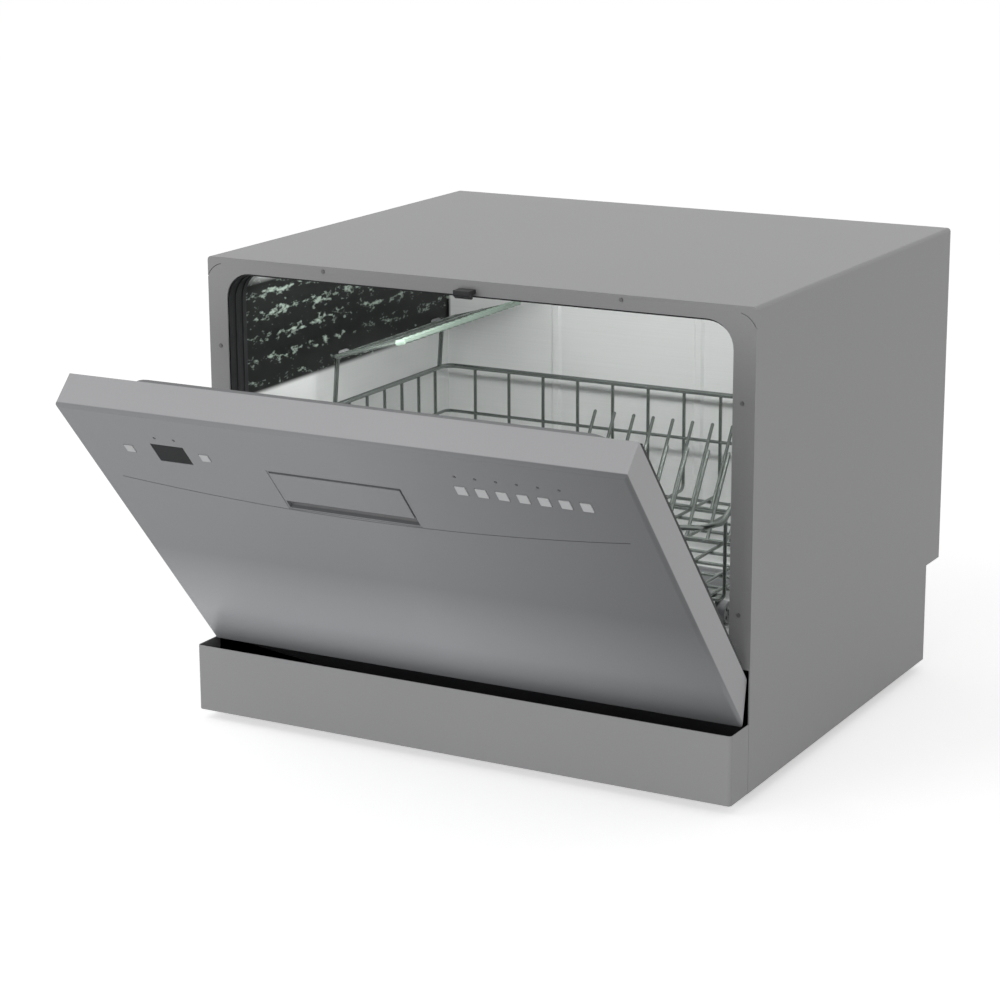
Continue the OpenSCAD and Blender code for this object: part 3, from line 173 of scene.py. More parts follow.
def makePaintGroup():
    # fine flakes and a faint orange peel, as in a sprayed silver coat, with painted shade and painted light on a
    # front face
    tree, given, out = newGroup("silverCoat", "ShaderNodeTree", [
        ("Vector", "NodeSocketVector", None), ("Front Normal", "NodeSocketVector", None),
        ("Color", "NodeSocketColor", (0.34, 0.34, 0.35, 1)),
        ("Front Painted Shade", "NodeSocketColor", (0.3, 0.3, 0.3, 1)),
        ("Right Painted Shade", "NodeSocketColor", (0.3, 0.3, 0.3, 1))] + floatSockets({
            "Flake Scale": 900.0, "Flake Contrast": 0.08, "Roughness": 0.4, "Roughness Spread": 0.06,
            "Peel Scale": 260.0, "Peel Height": 0.00002, "Front Level": 1000.0, "Low Painted Light": 1.0}), surfaceOut)
    place = given["Vector"]
    clouds = addNoise(tree, place, 5.0, 3.0)
    both = addMath(tree, "ADD", addNoise(tree, place, given["Flake Scale"], 2.0), clouds)
    swing = addSwing(tree, both, 1.0, given["Flake Contrast"], 1.0)
    # a front face painted darker than the top and sides as painted shade, darker still towards the right, and
    # brightened at the bottom as painted light
    height = addVectorMath(tree, "DOT_PRODUCT", {0: place, 1: given["Front Normal"]}, "Value")
    front = addRange(tree, addMath(tree, "SUBTRACT", height, given["Front Level"]), *doorPaintedShade["depth"])
    axes = addNode(tree, "ShaderNodeSeparateXYZ", {0: place}).outputs
    across = addRange(tree, axes[0], *doorPaintedShade["across"])
    paintedFalloff = mixColors(tree, across, given["Front Painted Shade"], given["Right Painted Shade"])
    lift = addRange(tree, axes[2], *doorPaintedShade["low"], given["Low Painted Light"], 1.0)
    paintedFrontShade = addVectorMath(tree, "SCALE", {0: paintedFalloff, "Scale": lift})
    toneWithPaintedShade = mixColors(tree, front, given["Color"], paintedFrontShade)
    tint = addVectorMath(tree, "SCALE", {0: toneWithPaintedShade, "Scale": swing})
    rough = addSwing(tree, clouds, 0.5, given["Roughness Spread"], given["Roughness"])
    peel = addNoise(tree, place, given["Peel Scale"], 1.0)
    surfaceEnd(tree, out, tint, rough, addBump(tree, peel, 0.5, given["Peel Height"]))
    return tree


# painted reflection on one side wall: how fast its painted dark fades in above its height, and its rows of painted
# glints
wallGlints = {
    "fade": 0.006, "rowTurn": 290.0, "rowShare": 0.09, "glintBreakup": (1.0, 62.0, 150.0), "glintBreakupScale": 1.5,
    "glintBreakupRoughness": 0.65, "high": (0.31, 0.4), "lift": (-0.06, 0.03), "full": 0.75,
}


def makeBrushedGroup():
    # long streaks along one direction, with cloudy patches in the shine
    tree, given, out = newGroup("brushedSheet", "ShaderNodeTree", [
        ("Vector", "NodeSocketVector", None), ("Stretch", "NodeSocketVector", (4.0, 4.0, 400.0)),
        ("Color", "NodeSocketColor", (0.75, 0.76, 0.75, 1)),
        ("Shade Color", "NodeSocketColor", (0.01, 0.012, 0.011, 1)),
        ("Glint Color", "NodeSocketColor", (0.3, 0.36, 0.31, 1))] + floatSockets({
            "Streak Contrast": 0.1, "Roughness": 0.25, "Roughness Spread": 0.1, "Streak Height": 0.000004,
            "Shade Start": -1.0, "Shade End": -2.0, "Shade Height": 0.298, "Glint Limit": 0.6}), surfaceOut)
    place, shadeHeight = given["Vector"], given["Shade Height"]
    drawn = addVectorMath(tree, "MULTIPLY", {0: place, 1: given["Stretch"]})
    streaks = addNoise(tree, drawn, 3.0, 4.0)
    clouds = addNoise(tree, place, 9.0, 2.0)
    swing = addSwing(tree, streaks, 0.5, given["Streak Contrast"], 1.0)
    tint = addVectorMath(tree, "SCALE", {0: given["Color"], "Scale": swing})
    rough = addSwing(tree, clouds, 0.5, given["Roughness Spread"], given["Roughness"])
    # one side wall is painted dark above a height, as a painted reflection of the dark door and the wires, with
    # painted glints
    axes = addNode(tree, "ShaderNodeSeparateXYZ", {0: place}).outputs
    beside = addRange(tree, axes[0], given["Shade Start"], given["Shade End"])
    top = addMath(tree, "ADD", shadeHeight, wallGlints["fade"])
    above = addRange(tree, axes[2], shadeHeight, top, interpolation_type="SMOOTHSTEP")
    # rows of painted glints, a painted reflection of the shelf's wires
    rows = addMath(tree, "SINE", addMath(tree, "MULTIPLY", axes[2], wallGlints["rowTurn"]))
    slant = addVectorMath(tree, "MULTIPLY", {0: place, 1: wallGlints["glintBreakup"]})
    glintBreakup = addNoise(tree, slant, wallGlints["glintBreakupScale"], 2.0, wallGlints["glintBreakupRoughness"])
    broken = addMath(tree, "MULTIPLY_ADD", rows, wallGlints["rowShare"], glintBreakup)
    raised = addMath(tree, "ADD", broken, addRange(tree, axes[2], *wallGlints["high"], *wallGlints["lift"]))
    glint = addRange(tree, raised, given["Glint Limit"], wallGlints["full"])
    paintedReflection = mixColors(tree, glint, given["Shade Color"], given["Glint Color"])
    seen = mixColors(tree, addMath(tree, "MULTIPLY", beside, above), tint, paintedReflection)
    surfaceEnd(tree, out, seen, rough, addBump(tree, streaks, 0.4, given["Streak Height"]))
    return tree


def makeMouldedGroup():
    # fine texture of moulded plastic or rubber, with slight dulling in patches
    tree, given, out = newGroup("mouldedSkin", "ShaderNodeTree", [
        ("Vector", "NodeSocketVector", None),
        ("Color", "NodeSocketColor", (0.4, 0.4, 0.4, 1))] + floatSockets({
            "Grain Scale": 1500.0, "Patch Contrast": 0.12, "Roughness": 0.5, "Roughness Spread": 0.15,
            "Grain Height": 0.00001}), surfaceOut)
    patches = addNoise(tree, given["Vector"], 25.0, 4.0)
    swing = addSwing(tree, patches, 0.5, given["Patch Contrast"], 1.0)
    tint = addVectorMath(tree, "SCALE", {0: given["Color"], "Scale": swing})
    rough = addSwing(tree, patches, 0.5, given["Roughness Spread"], given["Roughness"])
    grain = addNoise(tree, given["Vector"], given["Grain Scale"], 1.0)
    surfaceEnd(tree, out, tint, rough, addBump(tree, grain, 0.3, given["Grain Height"]))
    return tree


surfaceGroups = {
    "silverCoat": makePaintGroup(), "brushedSheet": makeBrushedGroup(), "mouldedSkin": makeMouldedGroup(),
}


def makeMaterial(name, group, values, shader):
    # one surface group feeds a Principled BSDF whose plain numbers stand on its own sockets
    material = bpy.data.materials.new(name)
    material.use_nodes = True
    tree = material.node_tree
    tree.nodes.clear()
    place = tree.nodes.new("ShaderNodeTexCoord")
    skin = tree.nodes.new("ShaderNodeGroup")
    skin.node_tree = surfaceGroups[group]
    tree.links.new(place.outputs["Object"], skin.inputs["Vector"])
    for label, value in values.items():
        skin.inputs[label].default_value = value
    bsdf = addNode(tree, "ShaderNodeBsdfPrincipled", shader)
    tree.links.new(skin.outputs["Color"], bsdf.inputs["Base Color"])
    tree.links.new(skin.outputs["Roughness"], bsdf.inputs["Roughness"])
    tree.links.new(skin.outputs["Normal"], bsdf.inputs["Normal"])
    out = tree.nodes.new("ShaderNodeOutputMaterial")
    tree.links.new(bsdf.outputs[0], out.inputs["Surface"])
    material.diffuse_color = values["Color"]
    return material


frontWay = doorTurn.to_3x3() @ Vector((0, -1, 0))
frontLevel = max(vertex.co.dot(frontWay) for vertex in nodeObjects["door_panel"].data.vertices)
finishes = {
    "casePaint": ("silverCoat", {"Color": (0.325, 0.325, 0.327, 1), "Roughness": 0.42},
                  {"Metallic": 0.15, "Specular IOR Level": 0.45}),
    # the door's front gets painted shade, darker towards the right, and painted light at its bottom; its top and
    # sides keep the plain colour
    "doorPaint": ("silverCoat", {"Color": (0.4, 0.4, 0.41, 1), "Roughness": 0.34, "Flake Contrast": 0.06,
                  "Peel Height": 0.000008, "Front Painted Shade": (0.222, 0.227, 0.235, 1),
                  "Right Painted Shade": (0.122, 0.125, 0.129, 1), "Front Normal": tuple(frontWay),
                  "Front Level": frontLevel, "Low Painted Light": 1.85},
                  {"Metallic": 0.1, "Coat Weight": 0.1, "Coat Roughness": 0.2}),
    # the tub's left wall gets a painted reflection: painted dark above a height, with painted glints
    "tubSteel": ("brushedSheet", {"Color": (0.74, 0.755, 0.745, 1), "Roughness": 0.36, "Glint Limit": 0.575,
                 "Shade Start": -0.2535, "Shade End": -0.2565, "Shade Color": (0.004, 0.005, 0.0045, 1),
                 "Glint Color": (0.34, 0.42, 0.36, 1)}, {"Metallic": 0.35}),
    # the door liner is the tub's steel painted much darker, as painted shade on the strip behind the door's top
    "shadedLinerSteel": ("brushedSheet", {"Color": (0.22, 0.223, 0.228, 1), "Roughness": 0.36,
                   "Stretch": (400.0, 4.0, 4.0)}, {"Metallic": 0.7}),
    "platedSteel": ("brushedSheet", {"Color": (0.5, 0.5, 0.51, 1), "Roughness": 0.35,
                    "Stretch": (30.0, 30.0, 30.0)}, {"Metallic": 1.0}),
    "rackCoat": ("mouldedSkin", {"Color": (0.2, 0.225, 0.21, 1), "Roughness": 0.2, "Grain Height": 0.000003},
                 {"Metallic": 0.75, "Coat Weight": 0.5, "Coat Roughness": 0.1}),
    "shelfCoat": ("mouldedSkin", {"Color": (0.2, 0.23, 0.21, 1), "Roughness": 0.2},
                  {"Metallic": 0.6, "Coat Weight": 0.5, "Coat Roughness": 0.1}),
    "keyPaint": ("silverCoat", {"Color": (0.42, 0.425, 0.43, 1), "Roughness": 0.36, "Flake Contrast": 0.05,
                 "Peel Height": 0.000006}, {"Coat Weight": 0.2, "Coat Roughness": 0.2}),
    "blackRubber": ("mouldedSkin", {"Color": (0.018, 0.018, 0.02, 1), "Roughness": 0.55}, {}),
    "blackPlastic": ("mouldedSkin", {"Color": (0.022, 0.022, 0.024, 1), "Roughness": 0.42}, {}),
    "greyPlastic": ("mouldedSkin", {"Color": (0.19, 0.195, 0.2, 1), "Roughness": 0.4}, {}),
    "whitePlastic": ("mouldedSkin", {"Color": (0.68, 0.69, 0.68, 1), "Roughness": 0.35}, {}),
    "displayGlass": ("mouldedSkin", {"Color": (0.008, 0.009, 0.01, 1), "Roughness": 0.4,
                     "Grain Height": 0.0000005}, {"Specular IOR Level": 0.15}),
    "lampLens": ("mouldedSkin", {"Color": (0.03, 0.032, 0.033, 1), "Roughness": 0.18}, {"Coat Weight": 0.4}),
    "bandPlastic": ("mouldedSkin", {"Color": (0.24, 0.31, 0.26, 1), "Roughness": 0.4,
                    "Patch Contrast": 0.5}, {}),
    "paintedScrew": ("mouldedSkin", {"Color": (0.2, 0.2, 0.2, 1), "Roughness": 0.35}, {"Metallic": 0.3}),
    "circuitBoard": ("mouldedSkin", {"Color": (0.02, 0.12, 0.05, 1), "Roughness": 0.35,
                     "Patch Contrast": 0.4}, {}),
}
materials = {name: makeMaterial(name, *spec) for name, spec in finishes.items()}
print("materials made:", len(materials))

# finishes by material slot, and those nodes that have another
slotFinish = {
    "case_paint": "casePaint", "stainless": "tubSteel", "plated_steel": "platedSteel",
    "door_paint": "doorPaint", "black_plastic": "blackPlastic", "black_rubber": "blackRubber",
    "grey_plastic": "greyPlastic", "white_plastic": "whitePlastic", "dark_window": "displayGlass",
    "lens": "lampLens", "board": "circuitBoard", "rack_coat": "rackCoat",
}
nodeFinish = {
    "door_catch": "blackPlastic", "door_liner": "shadedLinerSteel", "cup_shelf": "shelfCoat",
    "handle_pocket": "doorPaint",
}
nodeFinish.update({node: "keyPaint" for node in nodeObjects if node.startswith("button_")})
for part in frame["record"]["subparts"]:
    solid = nodeObjects[part["node"]]
    finish = nodeFinish.get(part["node"], slotFinish[part["material_slot"]])
    solid.data.materials.clear()
    solid.data.materials.append(materials[finish])


def meshOf(obj):
    # the evaluated mesh as a plain one
    return bpy.data.meshes.new_from_object(obj.evaluated_get(bpy.context.evaluated_depsgraph_get()))


def placePiece(name, mesh, body, nodes=()):
    piece = bpy.data.objects.new(name, mesh)
    scene.collection.objects.link(piece)
    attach(piece, body)
    if nodes:
        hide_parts(*nodes)


def finishMesh(mesh, angle=40):
    mesh.polygons.foreach_set("use_smooth", [True] * len(mesh.polygons))
    mesh.set_sharp_from_angle(angle=math.radians(angle))


def joinMeshes(name, meshes):
    # one mesh from several, with their materials kept
    used = []
    work = bmesh.new()
    for mesh in meshes:
        for material in mesh.materials:
            if material not in used:
                used.append(material)
        slots = [used.index(m) for m in mesh.materials]
        first = len(work.faces)
        work.from_mesh(mesh)
        work.faces.ensure_lookup_table()
        for face in work.faces[first:]:
            face.material_index = slots[min(face.material_index, len(slots) - 1)]
    joined = bpy.data.meshes.new(name)
    work.to_mesh(joined)
    work.free()
    for material in used:
        joined.materials.append(material)
    return joined


# how edges are rounded, and which corners stay sharp, in degrees
rounding = {"edgeAngle": 35, "sharpAngle": 30, "flatWeight": 100}


def bevelled(mesh, width, segments=2):
    # rounds a mesh's edges, with normals weighted so that flat faces stay flat
    finishMesh(mesh, rounding["sharpAngle"])
    if not width:
        return mesh
    shaped = bpy.data.objects.new("shape", mesh)
    scene.collection.objects.link(shaped)
    bevel = shaped.modifiers.new("rounding", "BEVEL")
    bevel.width = width
    bevel.segments = segments
    bevel.limit_method = "ANGLE"
    bevel.angle_limit = math.radians(rounding["edgeAngle"])
    bevel.use_clamp_overlap = True
    weighted = shaped.modifiers.new("weighting", "WEIGHTED_NORMAL")
    weighted.weight = rounding["flatWeight"]
    weighted.keep_sharp = False
    done = meshOf(shaped)
    bpy.data.objects.remove(shaped)
    return done


# merge distance in metres and flatness in degrees; panels with holes in flat faces keep their triangles
cleaning = {"merge": 2e-6, "flat": 0.6, "pierced": ("door_panel", "outer_casing", "rear_panel")}


def cleanNode(node):
    # the node's triangles merged, with flat faces joined
    mesh = nodeObjects[node].data.copy()
    work = bmesh.new()
    work.from_mesh(mesh)
    bmesh.ops.remove_doubles(work, verts=work.verts, dist=cleaning["merge"])
    if node not in cleaning["pierced"]:
        bmesh.ops.dissolve_limit(work, angle_limit=math.radians(cleaning["flat"]), verts=work.verts,
                                 edges=work.edges)
    work.to_mesh(mesh)
    work.free()
    return mesh


def roundedCopy(name, node, body, width, segments=2):
    placePiece(name, bevelled(cleanNode(node), width, segments), body, (node,))


# by node: the piece's name, its body and the width of its rounded edges in metres
roundedParts = {
    "outer_casing": ("casingShell", "cabinet", 0.0009), "plinth": ("plinthPanel", "cabinet", 0.0006),
    "rear_panel": ("rearCover", "cabinet", 0), "base_tray": ("baseTray", "cabinet", 0.001),
    "tub": ("tubShell", "cabinet", 0.0004), "tub_gasket": ("mouthGasket", "cabinet", 0.0004),
    "sill_seal": ("sillSeal", "cabinet", 0.0008), "door_catch": ("doorStrike", "cabinet", 0.0008),
    "hinge_brackets": ("hingePlates", "cabinet", 0.0004), "feet": ("rubberFeet", "cabinet", 0.0012),
    "softener": ("softenerTank", "cabinet", 0.0025), "air_break": ("airBreak", "cabinet", 0.0012),
    "cord_gland": ("cordGland", "cabinet", 0.0006), "drain_spigot": ("drainSpigot", "cabinet", 0.0006),
    "inlet_valve": ("inletValve", "cabinet", 0.0006), "sump": ("sumpWell", "cabinet", 0.001),
    "door_panel": ("doorShell", "door", 0.0006), "door_liner": ("innerPan", "door", 0.0004),
    "door_side_seals": ("doorEdgeSeals", "door", 0.0004), "handle_pocket": ("handleCup", "door", 0.0012),
    "display_window": ("displayPane", "door", 0.0004),
    "dispenser_body": ("dispenserBody", "door", 0.0008), "hinge_arms": ("hingeArms", "door", 0.0004),
    "dispenser_lid": ("dispenserLid", "dispenser_lid", 0.0006),
    "rinse_cap": ("rinseCap", "rinse_cap", 0.0006), "handle_lever": ("handlePlate", "handle_lever", 0.0018),
    "spray_arm": ("sprayArm", "spray_arm", 0.0016), "salt_cap": ("saltCap", "salt_cap", 0.001),
    "filter_cup": ("filterCup", "filter_cup", 0.0006), "cutlery_basket": ("cutleryBasket", "rack", 0.0006),
    "spray_hub": ("sprayHub", "cabinet", 0.0006),
    "circulation_pump": ("circulationPump", "cabinet", 0.001), "drain_pump": ("drainPump", "cabinet", 0.001),
    "wash_pipe": ("washPipe", "cabinet", 0.0006), "heater": ("heatingTube", "cabinet", 0.0002),
    "pump_impeller": ("pumpImpeller", "pump_impeller", 0.0004),
    "latch_pawl": ("latchPawl", "latch_pawl", 0.0005), "control_board": ("controlBoard", "door", 0.0002),
    "indicator_lenses": ("lampLenses", "door", 0.0003),
}
for node, (name, body, width) in roundedParts.items():
    roundedCopy(name, node, body, width)
print("rounded parts made:", len(roundedParts))

# push buttons with softer edges than the panel, and the rack's wheels
buttons = {"prefix": "button_", "softness": 0.0016, "steps": 4}
wheels = {"count": 6, "softness": 0.0009}
for node in nodeObjects:
    if node.startswith(buttons["prefix"]):
        tail = node.removeprefix(buttons["prefix"])
        roundedCopy("key" + tail[0].upper() + tail[1:], node, node, buttons["softness"], buttons["steps"])
for index in range(1, wheels["count"] + 1):
    roundedCopy("rackWheel%d" % index, "wheel_%d" % index, "wheel_%d" % index, wheels["softness"])
print("buttons and wheels made")


def bakeTree(tree, values, base=None):
    # runs a geometry tree on a mesh and gives back a plain mesh
    holder = bpy.data.objects.new("holder", base or bpy.data.meshes.new("empty"))
    scene.collection.objects.link(holder)
    modifier = holder.modifiers.new("tree", "NODES")
    modifier.node_group = tree
    for item in tree.interface.items_tree:
        if item.in_out == "INPUT" and item.name in values:
            modifier[item.identifier] = values[item.name]
    done = meshOf(holder)
    bpy.data.objects.remove(holder)
    finishMesh(done)
    return done


def treeEnd(tree, geometry, given, out):
    whole = addNode(tree, "GeometryNodeRealizeInstances", {"Geometry": geometry}).outputs[0]
    painted = addNode(tree, "GeometryNodeSetMaterial", {"Geometry": whole, "Material": given["Material"]})
    tree.links.new(painted.outputs[0], out[0])


def joinParts(tree, parts):
    joined = addNode(tree, "GeometryNodeJoinGeometry")
    for part in parts:
        tree.links.new(part, joined.inputs[0])
    return joined.outputs[0]


def moveZ(tree, part, height):
    return addNode(tree, "GeometryNodeTransform", {"Geometry": part,
                   "Translation": addXyz(tree, z=height)}).outputs[0]


def onPoints(tree, given, part, rotation):
    return addNode(tree, "GeometryNodeInstanceOnPoints", {"Points": given["Geometry"], "Instance": part,
                   "Rotation": rotation}).outputs[0]


baseInputs = [("Geometry", "NodeSocketGeometry", None), ("Material", "NodeSocketMaterial", None)]
wireInputs = [("Wire Radius", "NodeSocketFloat", 0.0017), ("Bend Radius", "NodeSocketFloat", 0.006),
              ("Bend Steps", "NodeSocketInt", 4), ("Sides", "NodeSocketInt", 10)]
meshOut = [("Geometry", "NodeSocketGeometry")]


def wireSkin(tree, path, given):
    curve = addNode(tree, "GeometryNodeMeshToCurve", {"Mesh": path})
    bent = addNode(tree, "GeometryNodeFilletCurve", {"Curve": curve.outputs[0], "Count": given["Bend Steps"],
                   "Radius": given["Bend Radius"], "Limit Radius": True}, mode="POLY")
    ring = addNode(tree, "GeometryNodeCurvePrimitiveCircle", {"Resolution": given["Sides"],
                   "Radius": given["Wire Radius"]})
    return addNode(tree, "GeometryNodeCurveToMesh", {"Curve": bent.outputs[0],
                   "Profile Curve": ring.outputs[0], "Fill Caps": True}).outputs[0]


def makeWireTree():
    # polylines in, round wires with rounded bends out
    tree, given, out = newGroup("bentWires", "GeometryNodeTree", baseInputs + wireInputs, meshOut)
    treeEnd(tree, wireSkin(tree, given["Geometry"], given), given, out)
    return tree


def makeHoopTree():
    # a row of hoops, each down one side, under the floor and up the other; their ends follow the rim
    hoopInputs = [("Count", "NodeSocketInt", 10)] + floatSockets({
        "First": 0.0, "Pitch": 0.03, "Half Width": 0.23, "Floor": 0.17, "Rim Low": 0.24, "Rim High": 0.272,
        "Rise Start": 0.0, "Rise Length": 0.06})
    tree, given, out = newGroup("rackHoops", "GeometryNodeTree", baseInputs + hoopInputs + wireInputs, meshOut)
    row = addNode(tree, "GeometryNodeMeshLine", {"Count": given["Count"],
                  "Start Location": addXyz(tree, y=given["First"]), "Offset": addXyz(tree, y=given["Pitch"])})
    right = given["Half Width"]
    left = addMath(tree, "MULTIPLY", right, -1.0)
    corners = [addXyz(tree, x=x, z=given[z]) for x, z in (
        (left, "Rim High"), (left, "Floor"), (right, "Floor"), (right, "Rim High"))]
    lines = [addNode(tree, "GeometryNodeCurvePrimitiveLine", {0: corners[i], 1: corners[i + 1]}).outputs[0]
             for i in (2, 1, 0)]
    edges = addNode(tree, "GeometryNodeCurveToMesh", {"Curve": joinParts(tree, lines)})
    welded = addNode(tree, "GeometryNodeMergeByDistance", {"Geometry": edges.outputs[0], "Distance": 0.0001})
    hoops = addNode(tree, "GeometryNodeInstanceOnPoints", {"Points": row.outputs[0],
                    "Instance": welded.outputs[0]})
    real = addNode(tree, "GeometryNodeRealizeInstances", {"Geometry": hoops.outputs[0]})
    place = addNode(tree, "GeometryNodeInputPosition")
    axes = addNode(tree, "ShaderNodeSeparateXYZ", {0: place.outputs[0]}).outputs
    along = addMath(tree, "SUBTRACT", axes[1], given["Rise Start"])
    share = addMath(tree, "DIVIDE", along, given["Rise Length"])
    rise = addRange(tree, share, 0.0, 1.0, given["Rim Low"], given["Rim High"])
    upper = addMath(tree, "GREATER_THAN", axes[2], given["Rim Low"])
    moved = addNode(tree, "GeometryNodeSetPosition", {"Geometry": real.outputs[0], "Selection": upper,
                    "Position": addXyz(tree, axes[0], axes[1], rise)})
    treeEnd(tree, wireSkin(tree, moved.outputs[0], given), given, out)
    return tree


def makeTineTree():
    # leaning rods with rounded tips, one on each vertex of the mesh given
    tree, given, out = newGroup("leaningTines", "GeometryNodeTree", baseInputs + floatSockets({
        "Length": 0.088, "Lean": 0.576, "Rod Radius": 0.0017}), meshOut)
    rod = addNode(tree, "GeometryNodeMeshCylinder", {"Vertices": 12, "Side Segments": 1,
                  "Radius": given["Rod Radius"], "Depth": given["Length"]})
    raised = moveZ(tree, rod.outputs[0], addMath(tree, "MULTIPLY", given["Length"], 0.5))
    ball = addNode(tree, "GeometryNodeMeshUVSphere", {"Segments": 12, "Rings": 6,
                   "Radius": given["Rod Radius"]})
    cap = moveZ(tree, ball.outputs[0], given["Length"])
    tilt = addMath(tree, "MULTIPLY", given["Lean"], -1.0)
    spread = onPoints(tree, given, joinParts(tree, (cap, raised)), addXyz(tree, x=tilt))
    treeEnd(tree, spread, given, out)
    return tree


# shares of a screw's head: its top's radius, the reach of its recess and the recess's middle
screwHead = {"top": 0.62, "reach": 1.05, "recess": 0.95}


def makeScrewTree():
    # pan heads with a cross recess, facing along the vertices' "facing" attribute
    tree, given, out = newGroup("crossScrews", "GeometryNodeTree", baseInputs + floatSockets({
        "Head Radius": 0.0034, "Head Height": 0.0013, "Slot Width": 0.0009, "Shank Radius": 0.0017,
        "Shank Length": 0.008}), meshOut)
    radius, height, slot = given["Head Radius"], given["Head Height"], given["Slot Width"]
    rim = addMath(tree, "MULTIPLY", radius, screwHead["top"])
    head = addNode(tree, "GeometryNodeMeshCone", {"Vertices": 24, "Radius Top": rim,
                   "Radius Bottom": radius, "Depth": height})
    reach = addMath(tree, "MULTIPLY", radius, screwHead["reach"])
    bars = [addNode(tree, "GeometryNodeMeshCube", {"Size": addXyz(tree, x, y, height)}).outputs[0]
            for x, y in ((reach, slot), (slot, reach))]
    cross = moveZ(tree, joinParts(tree, bars), addMath(tree, "MULTIPLY", height, screwHead["recess"]))
    cut = addNode(tree, "GeometryNodeMeshBoolean", {"Mesh 1": head.outputs[0], "Mesh 2": cross},
                  operation="DIFFERENCE", solver="EXACT")
    shank = addNode(tree, "GeometryNodeMeshCylinder", {"Vertices": 16, "Radius": given["Shank Radius"],
                    "Depth": given["Shank Length"]})
    stem = moveZ(tree, shank.outputs[0], addMath(tree, "MULTIPLY", given["Shank Length"], -0.5))
    facing = addNode(tree, "GeometryNodeInputNamedAttribute", {"Name": "facing"}, data_type="FLOAT_VECTOR")
    turn = addNode(tree, "FunctionNodeAlignRotationToVector", {"Vector": facing.outputs[0]}, axis="Z")
    spread = onPoints(tree, given, joinParts(tree, (stem, cut.outputs[0])), turn.outputs[0])
    treeEnd(tree, spread, given, out)
    return tree


def makeCoilTree():
    # round wire wound in a helix along X, one coil on each vertex
    tree, given, out = newGroup("springCoils", "GeometryNodeTree", baseInputs + floatSockets({
        "Turns": 4.0, "Coil Radius": 0.0058, "Length": 0.005, "Wire Radius": 0.0006}), meshOut)
    helix = addNode(tree, "GeometryNodeCurveSpiral", {"Resolution": 24, "Rotations": given["Turns"],
                    "Start Radius": given["Coil Radius"], "End Radius": given["Coil Radius"],
                    "Height": given["Length"]})
    ring = addNode(tree, "GeometryNodeCurvePrimitiveCircle", {"Resolution": 8,
                   "Radius": given["Wire Radius"]})
    coil = addNode(tree, "GeometryNodeCurveToMesh", {"Curve": helix.outputs[0],
                   "Profile Curve": ring.outputs[0], "Fill Caps": True})
    treeEnd(tree, onPoints(tree, given, coil.outputs[0], (0.0, math.pi / 2, 0.0)), given, out)
    return tree


def lineMesh(paths, closed=False):
    # polylines as one mesh of edges
    verts, edges = [], []
    for path in paths:
        first = len(verts)
        verts += [tuple(p) for p in path]
        edges += [(first + i, first + i + 1) for i in range(len(path) - 1)]
        if closed:
            edges.append((len(verts) - 1, first))
    mesh = bpy.data.meshes.new("lines")
    mesh.from_pydata(verts, edges, [])
    return mesh


wireTree, hoopTree, tineTree = makeWireTree(), makeHoopTree(), makeTineTree()
screwTree, coilTree = makeScrewTree(), makeCoilTree()
print("geometry trees made")


def wireValues(radius, finish, bend=6, sides=12):
    # a wire's settings, from millimetres
    return {"Wire Radius": radius / 1000, "Bend Radius": bend / 1000, "Bend Steps": 4, "Sides": sides,
            "Material": materials[finish]}


def bakeWires(paths, values, closed=False):
    return bakeTree(wireTree, values, lineMesh(paths, closed))


# the dish rack in millimetres, measured from the front frame's plane
rack = {
    "half": 232.5, "front": -1.5, "rear": 363.5, "floor": 168.5, "longFloor": 170.9, "longs": 11,
    "rimFront": 240, "rimRear": 272, "rimRadius": 2.5, "rimBend": 12, "cornerCut": 34, "rise": 60,
    "wireRadius": 1.7, "bend": 7, "hoops": 10, "firstHoop": 38.5, "lastHoop": 339.5, "midRail": 224,
    "frontRails": (189, 204), "frontRailOver": 1, "clipWire": 218.5, "clipWireInset": 3,
    "tineRows": (191.5, 294.5), "tineRowInset": 10, "tineStart": -48, "tinePitch": 21.5, "tines": 13,
    "tineLength": 88, "tineLean": 33, "bedLift": 5.9, "rodX": -228.5, "rodZ": 322, "rodRadius": 1.6,
    "rodOver": 8, "posts": (146.5, 348.5), "postRadius": 2.3, "postLift": 2,
    "clipDepth": 20, "clipTop": 171, "clipSoftness": 0.0006,
}


